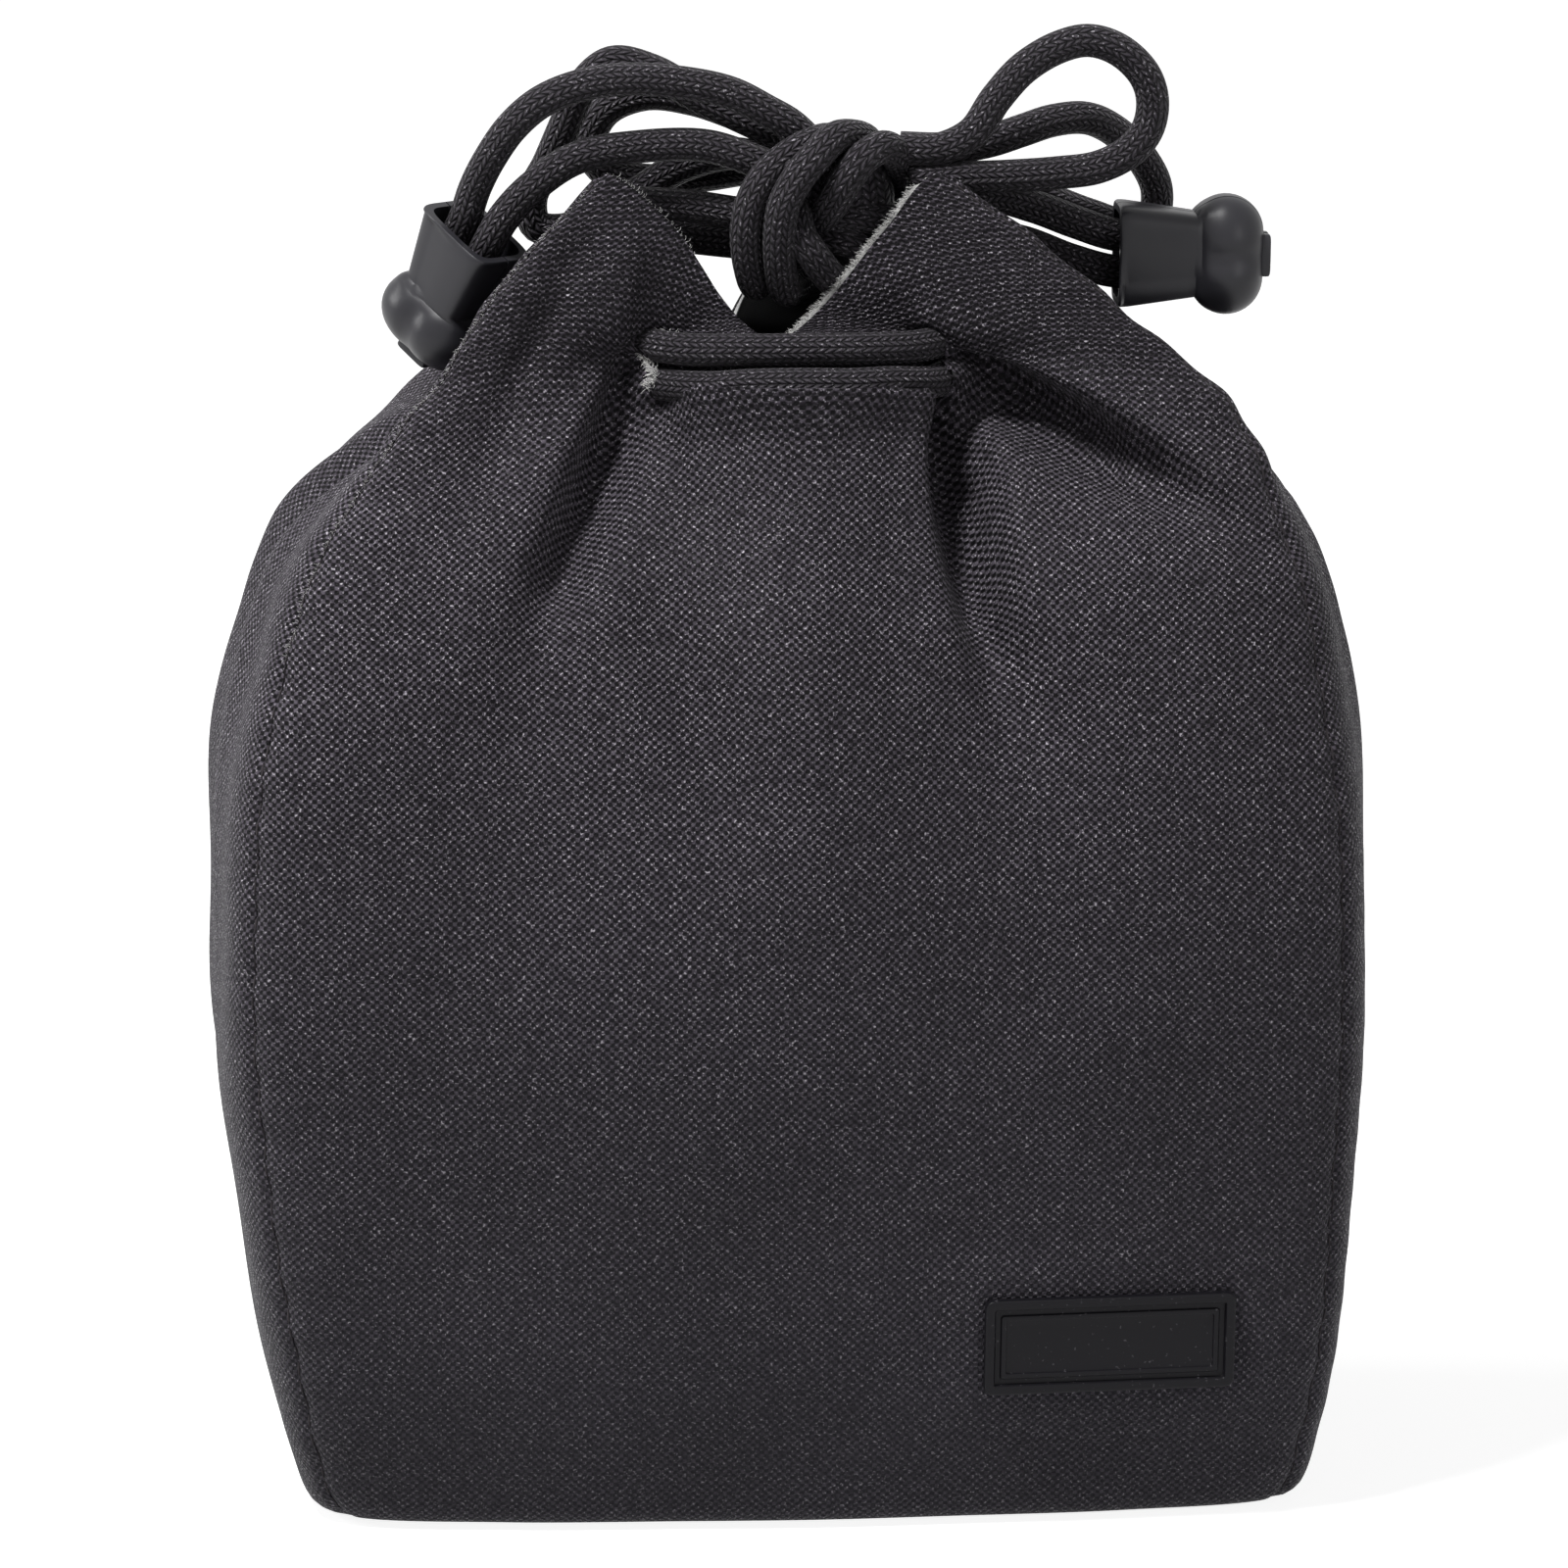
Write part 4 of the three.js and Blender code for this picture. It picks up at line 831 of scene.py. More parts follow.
def neighbours(field):
    """The field moved by one place to each of its four sides, with its edges repeated."""
    wide = np.pad(field, 1, mode="edge")
    return [wide[:-2, 1:-1], wide[2:, 1:-1], wide[1:-1, :-2], wide[1:-1, 2:]]


def blurred(field):
    """The field, with each value drawn halfway to the mean of its neighbours."""
    return sum(neighbours(field), 4 * field) / 8


def lowered(field, times):
    """The lowest value near each point, made even: the layers inside bridge the shell's folds from below."""
    for _ in range(times):
        field = np.minimum.reduce([field, *neighbours(field)])
    for _ in range(times):
        field = blurred(field)
    return field


def even_levels(step):
    """Levels that lie a step apart along the wall."""
    v = np.linspace(0, TOP, 2001)
    run = run_along(wall_point(1.6, v))
    return np.interp(np.linspace(0, run[-1], round(run[-1] / step) + 1), run, v)


def cells_with(marked):
    """The cells of a grid that have a marked corner."""
    return marked[:-1, :-1] | marked[1:, :-1] | marked[:-1, 1:] | marked[1:, 1:]


# The radius of the wall's bottom edge
BOTTOM_ROUND = 2.2


def bottom_rounded(points, flat, out):
    """A panel's points with its bottom edge rounded, and its first row on the ground."""
    low = np.clip(BOTTOM_ROUND - flat[..., 2], 0, BOTTOM_ROUND)
    inset = BOTTOM_ROUND - np.sqrt(BOTTOM_ROUND**2 - low**2)
    points = points - out * (1, 1, 0) * inset[..., None]
    points[..., 2] = np.maximum(points[..., 2], 0)
    points[0, :, 2] = 0
    return points


def flat_under_label(points, out):
    """A panel's points, brought to the label's plane where it is sewn down."""
    from_seat = points - seat_point
    across, up, off = from_seat @ seat_right, from_seat @ seat_up, from_seat @ seat_normal
    weight = smooth(LABEL_WIDTH / 2 + LABEL_BEND, LABEL_WIDTH / 2 - 1, np.abs(across))
    weight = weight * smooth(LABEL_HEIGHT / 2 + LABEL_BEND, LABEL_HEIGHT / 2 - 1, np.abs(up))
    weight = weight * (out @ seat_normal > 0.5)
    return points + seat_normal * (weight * (CLOTH_UNDER_LABEL - off))[..., None]


def along_threads(flat):
    """Millimetres along the threads of a panel: across from its middle column, and up from its foot."""
    middle = flat.shape[1] // 2
    run = np.linalg.norm(np.diff(flat, axis=1), axis=-1)
    run = np.concatenate([np.zeros((len(flat), 1)), np.cumsum(run, axis=1)], axis=1)
    climb = np.linalg.norm(np.diff(flat, axis=0), axis=-1)
    climb = np.concatenate([np.zeros((1, flat.shape[1])), np.cumsum(climb, axis=0)])
    return np.dstack([run - run[:, middle:middle + 1], climb])


def cloth_surface(first, last, columns_per_rail, step, bridge=0):
    """The dressed outer surface of a panel: its points and normals, millimetres along the threads, the cells
    at a slit, and the level of each row."""
    u = np.linspace(first, last, round((last - first) * columns_per_rail) + 1)[None]
    v = even_levels(step)[:, None]
    u, v = np.broadcast_arrays(u, v)
    flat, out = wall_point(u, v), outward(u, v)
    rise, side = pressed(flat, out, cloth_rise(flat, u, v))
    # The cloth is softened between the cords, but not over or under one, nor at the seams
    for _ in range(2):
        even = blurred(rise)
        even[:, [0, -1]] = rise[:, [0, -1]]
        rise = np.where(side == 0, even, rise)
    rise = lowered(rise + rolled_over(flat, u), bridge)
    points = bottom_rounded(flat + out * rise[..., None], flat, out)
    points = flat_under_label(points, out)
    normals = np.cross(np.gradient(points, axis=1), np.gradient(points, axis=0))
    normals /= np.maximum(np.linalg.norm(normals, axis=-1)[..., None], 1e-9)
    slit = cells_with(side > 0) & cells_with(side < 0)
    return points, normals, along_threads(flat), slit, v[:, 0]


def slab(name, outside, inside, uv, holes, material):
    """A closed sheet between two grids of points, with some squares left out."""
    rows, columns = outside.shape[:2]
    index = np.arange(rows * columns).reshape(rows, columns)
    keep = ~holes
    quads = np.stack([index[:-1, :-1], index[:-1, 1:], index[1:, 1:], index[1:, :-1]], axis=-1)[keep]
    count = rows * columns
    faces = quads.tolist() + (quads[:, ::-1] + count).tolist()
    edges = np.concatenate([quads[:, [i, (i + 1) % 4]] for i in range(4)])
    have = set(map(tuple, edges.tolist()))
    faces += [(b, a, a + count, b + count) for a, b in have if (b, a) not in have]
    points = np.vstack([outside.reshape(-1, 3), inside.reshape(-1, 3)])
    pairs = np.vstack([uv.reshape(-1, 2)] * 2)
    used = np.unique(np.concatenate([np.array(f) for f in faces]))
    renumber = np.full(2 * count, -1)
    renumber[used] = np.arange(len(used))
    faces = [[int(renumber[i]) for i in f] for f in faces]
    return make_piece(name, points[used], faces, material, pairs[used])


def squeezed(v, depth):
    """Depth under the outer surface, less where the cords press the layers together."""
    return (SHELL + LAYER_GAP + (depth - SHELL) * (1 - SQUEEZED_SHARE * smooth(4, 7, v)))[:, None, None]


def crowded(layer, panel):
    """Where an inner layer comes out into the shell of its panel, in a deep fold or at a sharp corner."""
    points, normals = surfaces[panel]
    points, normals = points.reshape(-1, 3), normals.reshape(-1, 3)
    tree = tree_of(points)
    nearest = np.array([tree.find(p)[1] for p in layer.reshape(-1, 3)])
    above = np.einsum("ij,ij->i", layer.reshape(-1, 3) - points[nearest], normals[nearest])
    return cells_with(above.reshape(layer.shape[:2]) > -SHELL_CLEARANCE)


def cord_gaps(middle):
    """The cells of an inner layer that a cord runs through, or that lie at a slit."""
    near = [cord_tree.find(p)[2] if p[2] > CORDS_FROM else math.inf for p in middle.reshape(-1, 3)]
    near = np.array(near).reshape(middle.shape[:2])
    from_slit = np.array([slit_tree.find(p)[2] for p in middle.reshape(-1, 3)]).reshape(middle.shape[:2])
    return cells_with(near < CORD_RADIUS + CORD_CLEARANCE) | (from_slit[:-1, :-1] < SLIT_CLEARANCE)


# Depths under the outer surface, in millimetres
SHELL = 0.8
PADDING_DEPTHS = (0.86, 2.9)
LINING_DEPTHS = (2.96, 3.6)
MIDDLE_DEPTH = 2.2
# The layers part by the gap, and a cord squeezes them by the share
LAYER_GAP, SQUEEZED_SHARE = 0.08, 0.32
# An inner layer is left out where it comes closer than this to the shell's face, a cord's side or a slit
SHELL_CLEARANCE, CORD_CLEARANCE, SLIT_CLEARANCE = 0.6, 0.1, 9
fine_step, fine_columns = ((1.1, 26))
surfaces = {}
for panel, (first, last) in PANELS.items():
    points, normals, uv, slit, v = cloth_surface(first, last, fine_columns, fine_step)
    piece = slab(f"{panel}_shell_cloth", points, points - SHELL * normals, uv, slit, CLOTH)
    stand_in(piece, "pouch", "shell_cloth", f"{panel}_shell")
    surfaces[panel] = points, normals
    coarse, normals, uv, slit, v = cloth_surface(first, last, 16, 1.7, bridge=2)
    holes = slit | cord_gaps(coarse - normals * squeezed(v, MIDDLE_DEPTH))
    outside, inside = (coarse - normals * squeezed(v, depth) for depth in PADDING_DEPTHS)
    if panel == "front":
        # The padding stands out of the cut edge right of the notch
        rails = np.linspace(first, last, coarse.shape[1])
        bare = smooth(0.1, 0.6, rails) * smooth(2.95, 2.5, rails) * (0.3 + 0.3 * np.sin(rails * 23))
        up = coarse[-1] - coarse[-2]
        up *= (bare / np.linalg.norm(up, axis=1))[:, None]
        outside[-1] += up
        inside[-1] += 0.8 * up
    trimmed = holes | crowded(outside, panel)
    trimmed[:, [0, -1]] = True
    piece = slab(f"{panel}_batting", outside, inside, uv, trimmed, BATTING)
    stand_in(piece, "pouch", "batting", f"{panel}_padding")
    outside, inside = (coarse - normals * squeezed(v, depth) for depth in LINING_DEPTHS)
    trimmed = holes | crowded(outside, panel)
    piece = slab(f"{panel}_lining_cloth", outside, inside, uv, trimmed, LINING)
    stand_in(piece, "pouch", "lining_cloth", f"{panel}_lining")


# The base: the same three layers laid flat between the walls. A layer's rings are shares of the way out, and
# its top swells towards the middle.
BASE_RINGS = [0.02, 0.2, 0.4, 0.6, 0.8, 0.92, 0.98, 1]
BASE_SWELL_SHARES = [1, 0.98, 0.9, 0.76, 0.5, 0.22, 0.06, 0]
BASE_SWELL = 0.5


def base_disc(name, inset, low, high, material, slot, node):
    """A layer of the base, inset from the wall's outer face, from low up to high at its rim."""
    u = np.linspace(0, RAILS, 161)[:-1]
    edge = wall_point(u, 0.0) - outward(u, np.zeros_like(u)) * (1, 1, 0) * inset
    swells = [high + BASE_SWELL * share for share in BASE_SWELL_SHARES]
    top = [edge * (r, r, 0) + (0, 0, swell) for r, swell in zip(BASE_RINGS, swells)]
    bottom = [edge * (r, r, 0) + (0, 0, low) for r in reversed(BASE_RINGS)]
    points = np.vstack([*top, *bottom, [(0, 0, high + BASE_SWELL), (0, 0, low)]])
    count, rows = len(u), len(top) + len(bottom)
    faces = [
        (r * count + i, (r + 1) * count + i, (r + 1) * count + (i + 1) % count, r * count + (i + 1) % count)
        for r in range(rows - 1) for i in range(count)
    ]
    hub, last = rows * count, (rows - 1) * count
    faces += [(hub, i, (i + 1) % count) for i in range(count)]
    faces += [(hub + 1, last + (i + 1) % count, last + i) for i in range(count)]
    return stand_in(make_piece(name, points, faces, material, points[:, :2]), "pouch", slot, node)


base_disc("base_shell_cloth", 2.7, 0, 0.8, CLOTH, "shell_cloth", "base_shell")
base_disc("base_batting", 4.3, 1.35, 2.9, BATTING, "batting", "base_padding")
base_disc("base_lining_cloth", 4.3, 3.45, 3.8, LINING, "lining_cloth", "base_lining")


# Label: a cast patch with a raised rim, a groove, a bead and a bare sunk panel, sewn down through its groove
LABEL_PROFILE = [
    # inset, height over the cloth
    (0.25, 0), (0.04, 0.12), (0, 0.35), (0, 1.15), (0.05, 1.32), (0.16, 1.44), (0.34, 1.5), (1.2, 1.5),
    (1.38, 1.45), (1.48, 1.3), (1.56, 0.9), (1.66, 0.8), (2.36, 0.8), (2.46, 0.88), (2.54, 1.12),
    (2.66, 1.2), (3.1, 1.2), (3.24, 1.14), (3.3, 1), (3.36, 0.84), (3.46, 0.8), (6, 0.8), (7.4, 0.8),
]


# The radius of the label's corners, and the least that a ring inside it has
LABEL_CORNER, LEAST_CORNER = 1.3, 0.35


def label_ring(inset, height, steps=9):
    """A ring of the label: a rectangle with round corners, inside its outline and over the cloth."""
    half = np.array([LABEL_WIDTH, LABEL_HEIGHT]) / 2 - inset
    radius = min(max(LABEL_CORNER - inset, LEAST_CORNER), half.min())
    ring = []
    for quarter in range(4):
        corner = (half - radius) * (1 if quarter in (0, 3) else -1, 1 if quarter < 2 else -1)
        angles = math.pi / 2 * (quarter + np.linspace(0, 1, steps))
        ring.append(corner + radius * np.column_stack([np.cos(angles), np.sin(angles)]))
    ring = np.vstack(ring)
    at = seat_point + seat_normal * (height + LABEL_GAP)
    return at + ring[:, :1] * seat_right + ring[:, 1:] * seat_up


def lofted(rings, close_ends=True):
    """Points and faces of a closed body through rings that turn anticlockwise seen from its last one."""
    count = len(rings[0])
    points = np.vstack(rings)
    faces = [
        (r * count + i, r * count + (i + 1) % count, (r + 1) * count + (i + 1) % count, (r + 1) * count + i)
        for r in range(len(rings) - 1) for i in range(count)
    ]
    if close_ends:
        points = np.vstack([points, rings[0].mean(0), rings[-1].mean(0)])
        hub, last = len(points) - 2, (len(rings) - 1) * count
        faces += [(hub, (i + 1) % count, i) for i in range(count)]
        faces += [(hub + 1, last + i, last + (i + 1) % count) for i in range(count)]
    return points, faces


points, faces = lofted([label_ring(*row) for row in LABEL_PROFILE])
stand_in(make_piece("blank_label", points, faces, RUBBER, sharp=35), "pouch", "label_rubber", "label_patch")


# Bow knot: turns of cord side by side over a packed middle, and the strands that leave under them
KNOT_CENTRE, KNOT_CORE = (5.4, -4.8, 196.5), (9.2, 7.2, 9)
WRAPS = [
    # the outer turn on the left
    [[-6.9, -9, 184.1], [-8, -12, 188], [-8.4, -13.6, 192.6], [-7.7, -14.2, 196.8], [-5.8, -14.4, 200.5],
     [-2.8, -14, 203.3], [0.6, -12.6, 205.1], [3.8, -9, 205.6], [6, -3, 203.8], [5, 3.5, 199], [1, 5, 193],
     [-3.4, 1.6, 187], [-5.8, -4, 183.8]],
    # the turn in front, over the first hump
    [[-2.5, -10.5, 183.5], [-3.4, -14, 187.9], [-3.6, -15.8, 192.3], [-3, -16.8, 196.9], [-0.9, -17.2, 201],
     [1.8, -16.8, 204.2], [4.6, -14.6, 206.5], [7.5, -11, 206.4], [10.4, -5, 204.4], [10.6, 1.6, 199.4],
     [8, 5, 193], [3.4, 3, 186.4], [-0.4, -4, 182.6]],
]
STRANDS = [
    # the second hump
    [[2.4, -5, 191], [3.7, -11, 194.8], [5, -14, 197.5], [6.6, -15.8, 200.7], [9, -15.8, 203.7],
     [11.8, -13.6, 205], [14.2, -9.6, 203.6], [15.6, -4, 200], [14, 2, 195], [8, 1.6, 190]],
    # the strand that leaves under the turns
    [[-0.4, -7, 197], [-0.8, -12, 194.4], [-0.3, -14.4, 191.9], [1.6, -14.6, 188.9], [4.2, -12, 185.3],
     [6, -7, 183.4]],
    # the two strands that run on into the tails on the right
    [[-1, -4.6, 195], [3.3, -8.5, 194.4], [7.9, -10, 194.2], [11.8, -9.6, 193.4], [16.2, -8.7, 193]],
    [[-1, -4, 191.6], [3.9, -8.5, 190.6], [7.6, -10.2, 190], [10.6, -9.6, 188.2], [13.4, -8.6, 186.6]],
]


def lump(centre, radii, power=1.0, rings=24, sides=40):
    """Points, faces and UV of a rounded lump. A power under 1 makes it squarer."""
    def curved(x):
        return np.sign(x) * np.abs(x) ** power
    down = np.linspace(0, math.pi, rings + 1)[1:-1, None]
    around = np.linspace(0, 2 * math.pi, sides, endpoint=False)[None]
    x = curved(np.sin(down)) * curved(np.cos(around))
    y = curved(np.sin(down)) * curved(np.sin(around))
    z = curved(np.cos(down)) + 0 * around
    points = np.dstack([x, y, z]) * radii + centre
    bodies, faces = lofted(list(points[::-1]))
    top = np.linalg.norm(radii)
    # The braid runs twice round it, since a lump is thicker than a cord
    uv = np.column_stack([
        np.arctan2(bodies[:, 1] - centre[1], bodies[:, 0] - centre[0]) / (2 * math.pi) * 2,
        bodies[:, 2] - centre[2] + top,
    ])
    return bodies, faces, uv


tubes = [
    *[cord_tube(centreline(route, closed=True), closed=True) for route in WRAPS],
    *[cord_tube(centreline(route)) for route in STRANDS],
    lump(KNOT_CENTRE, KNOT_CORE),
]
points, faces, uv = join_tubes(tubes)
stand_in(make_piece("bow_knot_braid", points, faces, CORD, uv), "pouch", "braided_cord", "bow_knot")

# Cord-end clips. In a clip's own frame x runs from mouth to bulb, z across its width, and -y is the lid side.
CLIP_LENGTH, CLIP_WALL, CLIP_SPLIT = 22.35, 1.3, 0.3
# The body's half width and half thickness along x, and the ball that the bulb is spread from
CLIP_STATIONS, CLIP_WIDTHS, CLIP_DEPTHS = (0, 1.2, 12.4, 13.4), (7.8, 7.85, 6.3, 0), (6, 6.05, 4.9, 0)
LOBE_CENTRE, LOBE_RADIUS, LOBE_SPREAD, LOBE_DEPTH = 16.7, 5.65, 3.5, 0.9
# The power of the body's section, and what the bulb adds to it: 1 would be a plain oval, and less is squarer
BODY_POWER, BULB_POWER_MORE = 0.36, 0.42
# How far the split moves to the lid side at the bulb, the waist down the bulb, and the step in the lid's face
SPLIT_STEP, WAIST_SHARE, WAIST_WIDTH, LID_STEP = 1.7, 0.12, 1.7, 0.85
# The mouth's lip is rounded over this length, by this share
LIP_LENGTH, LIP_SHARE = 0.4, 0.03
# How far the tails reach into the mouth
STRAND_REACH = 6.65
# The hinge's lug on each half, and the cord's end knot inside the bulb
LUG_ASIDE, LUG_RADII = 1.25, (0.95, 1.1, 3.25)
END_KNOT_PLACE, END_KNOT_RADII = (17.1, 0, 0), (3.5, 4.6, 6.6)


def clip_sizes(x, inset):
    """Half width, half thickness and power of the clip's section at x, inset from its surface."""
    x = np.clip(x, 0, CLIP_LENGTH - inset)
    body_width = np.interp(x, CLIP_STATIONS, CLIP_WIDTHS) - inset
    body_depth = np.interp(x, CLIP_STATIONS, CLIP_DEPTHS) - inset
    ball = np.sqrt(np.maximum((LOBE_RADIUS - inset) ** 2 - (x - LOBE_CENTRE) ** 2, 0))
    lobe_width, lobe_depth = (np.where(ball > 0, more + ball, 0) for more in (LOBE_SPREAD, LOBE_DEPTH))
    width = np.maximum(np.maximum(body_width, lobe_width), 0.05)
    depth = np.maximum(np.maximum(body_depth, lobe_depth), 0.02)
    return width, depth, BODY_POWER + BULB_POWER_MORE * smooth(11.4, 14.5, x)


def split_height(x):
    """The split runs along the middle of the body and steps towards the lid at the bulb."""
    return -SPLIT_STEP * smooth(11.6, 13.6, x)


def clip_arc(x, sign, inset, count=33):
    """One station of a half: points of its curved side, from the split round to the split."""
    width, depth, power = clip_sizes(np.array(x), inset)
    split = split_height(x) + sign * CLIP_SPLIT / 2
    edge = np.clip(split / depth, -1, 1)
    start = math.acos(math.copysign(abs(edge) ** (1 / power), edge))
    around = np.linspace(start, 2 * math.pi - start, count) if sign < 0 else np.linspace(-start, start, count)
    c, s = np.cos(around), np.sin(around)
    y = depth * np.sign(c) * np.abs(c) ** power
    z = width * np.sign(s) * np.abs(s) ** power
    at = min(x, CLIP_LENGTH - inset)
    if inset == 0:
        bulb = smooth(12, 15, x)
        y = y * (1 - WAIST_SHARE * bulb * np.exp(-((z / WAIST_WIDTH) ** 2)))
        # The lid's broad face is stepped down below its middle line
        if sign < 0:
            step = smooth(-0.5, -1, z) * (1 - smooth(11.6, 12.6, x)) * smooth(0.2, 0.9, x)
            y = y + LID_STEP * step * smooth(0.3, 0.9, -y / depth)
    return np.column_stack([np.full(count, at), y, z])


def clip_half(sign):
    """Points and faces of a clip's base, or with sign -1 of its lid: a shell with a lug at the hinge."""
    stations = [
        0, 0.12, 0.4, 0.9, 1.6, 3, 5, 7, 9, 10.6, 11.4, 11.8, 12.2, 12.6, 13, 13.5, 14, 14.7, 15.5, 16.4,
        17.3, 18.2, 19, 19.7, 20.3, 20.8, 21.2, 21.5, 21.8, 22, 22.15, 22.25, 22.32, 22.35,
    ]
    rings = []
    for x in stations:
        outer = clip_arc(x, sign, 0)
        if x < LIP_LENGTH:
            outer[:, 1:] *= 1 - LIP_SHARE * (1 - x / LIP_LENGTH) ** 2
        rings.append(np.vstack([outer, clip_arc(x, sign, CLIP_WALL)[::-1]]))
    pole = rings[-1].copy()
    run = len(pole) // 2
    pole[:run] = (CLIP_LENGTH, 0, 0)
    pole[run:] = (CLIP_LENGTH - CLIP_WALL, 0, 0)
    rings.append(pole)
    # Faces along the shell, then across its wall at the mouth and at the pole
    count = 2 * run
    points, faces = lofted(rings, close_ends=False)
    for first in (0, (len(rings) - 1) * count):
        for i in range(run - 1):
            j = count - 1 - i
            face = (first + i, first + j, first + j - 1, first + i + 1)
            faces.append(face if first == 0 else face[::-1])
    lug_place = (CLIP_LENGTH + 0.1, sign * LUG_ASIDE, 0)
    lug, lug_faces, _ = lump(lug_place, LUG_RADII, power=0.3, rings=12, sides=24)
    start = len(points)
    faces += [[start + i for i in face] for face in lug_faces]
    return np.vstack([points, lug]), faces


def clip_frame(first, second):
    """A clip holds its two tails side by side: the mouth's place, and the clip's three ways."""
    ends = [np.array(ROUTES[name][-1], float) for name in (first, second)]
    ways = [end - np.array(ROUTES[name][-2]) for end, name in zip(ends, (first, second))]
    x = sum(way / np.linalg.norm(way) for way in ways)
    x /= np.linalg.norm(x)
    z = ends[0] - ends[1]
    z -= x * (z @ x)
    z /= np.linalg.norm(z)
    return (ends[0] + ends[1]) / 2 - STRAND_REACH * x, np.array([x, np.cross(z, x), z])


for side, first, second in (("left", "left_tail_lower", "left_tail_upper"),
                            ("right", "right_tail_upper", "right_tail_lower")):
    mouth, ways = clip_frame(first, second)
    for half, sign, body in (("lid", -1, f"{side}_lid"), ("base", 1, "pouch")):
        points, faces = clip_half(sign)
        piece = make_piece(f"{side}_clip_{half}_shell", points @ ways + mouth, faces, PLASTIC, sharp=38)
        turn_outward(piece)
        stand_in(piece, body, "clip_plastic", f"{side}_clip_{half}")
    points, faces, uv = lump(END_KNOT_PLACE, END_KNOT_RADII, power=0.8)
    piece = make_piece(f"{side}_end_knot_braid", points @ ways + mouth, faces, CORD, uv)
    turn_outward(piece)
    stand_in(piece, "pouch", "braided_cord", f"{side}_cord_end_knot")


# Loose fibres and stitches: Geometry Nodes along a path
def new_tree(name, sizes):
    """An empty node tree with a geometry input and named sizes, and its input and output nodes."""
    tree = bpy.data.node_groups.new(name, "GeometryNodeTree")
    tree.interface.new_socket("Geometry", in_out="INPUT", socket_type="NodeSocketGeometry")
    for key, kind in sizes.items():
        tree.interface.new_socket(key, in_out="INPUT", socket_type=kind)
    tree.interface.new_socket("Geometry", in_out="OUTPUT", socket_type="NodeSocketGeometry")
    return tree, tree.nodes.new("NodeGroupInput").outputs, tree.nodes.new("NodeGroupOutput")


def fibre_tree():
    """Fine bent fibres that grow from a path, most of them towards Lean."""
    tree, given, result = new_tree("loose_fibres", {
        "Spacing": "NodeSocketFloat", "Spread": "NodeSocketFloat", "Fibre Length": "NodeSocketFloat",
        "Lean": "NodeSocketVector", "Seed": "NodeSocketInt",
    })
    path = add_node(tree, "GeometryNodeMeshToCurve", {"Mesh": given["Geometry"]}).outputs[0]
    roots = {"Curve": path, "Length": given["Spacing"]}
    roots = add_node(tree, "GeometryNodeCurveToPoints", roots, mode="LENGTH").outputs["Points"]
    stray = {0: (-1, -1, -1), 1: (1, 1, 1), "Seed": given["Seed"]}
    stray = add_node(tree, "FunctionNodeRandomValue", stray, data_type="FLOAT_VECTOR").outputs[0]
    aside = {0: stray, "Scale": given["Spread"]}
    aside = add_node(tree, "ShaderNodeVectorMath", aside, operation="SCALE").outputs[0]
    roots = add_node(tree, "GeometryNodeSetPosition", {"Geometry": roots, "Offset": aside}).outputs[0]
    other = {0: (-1, -1, -1), 1: (1, 1, 1), "Seed": 5}
    other = add_node(tree, "FunctionNodeRandomValue", other, data_type="FLOAT_VECTOR").outputs[0]
    way = add_node(tree, "ShaderNodeVectorMath", {0: given["Lean"], 1: other}, operation="ADD").outputs[0]
    turn = add_node(tree, "FunctionNodeAlignRotationToVector", {"Vector": way}, axis="Z").outputs[0]
    size = {2: 0.3, 3: 1.0, "Seed": 9}
    size = add_node(tree, "FunctionNodeRandomValue", size, data_type="FLOAT").outputs[1]
    size = {0: size, 1: given["Fibre Length"]}
    size = add_node(tree, "ShaderNodeMath", size, operation="MULTIPLY").outputs[0]
    # A fibre one unit long, bent to one side and back
    bend = {"Resolution": 4, "Start": (0, 0, 0), "Middle": (0.45, 0.1, 0.5), "End": (-0.1, 0.35, 1)}
    bend = add_node(tree, "GeometryNodeCurveQuadraticBezier", bend).outputs[0]
    section = {"Resolution": 3, "Radius": 0.028}
    section = add_node(tree, "GeometryNodeCurvePrimitiveCircle", section).outputs[0]
    fibre = {"Curve": bend, "Profile Curve": section, "Fill Caps": True}
    fibre = add_node(tree, "GeometryNodeCurveToMesh", fibre).outputs[0]
    grown = {"Points": roots, "Instance": fibre, "Rotation": turn, "Scale": size}
    grown = add_node(tree, "GeometryNodeInstanceOnPoints", grown).outputs[0]
    grown = add_node(tree, "GeometryNodeRealizeInstances", {"Geometry": grown}).outputs[0]
    grown = add_node(tree, "GeometryNodeSetMaterial", {"Geometry": grown, "Material": FIBRE}).outputs[0]
    tree.links.new(grown, result.inputs[0])
    return tree


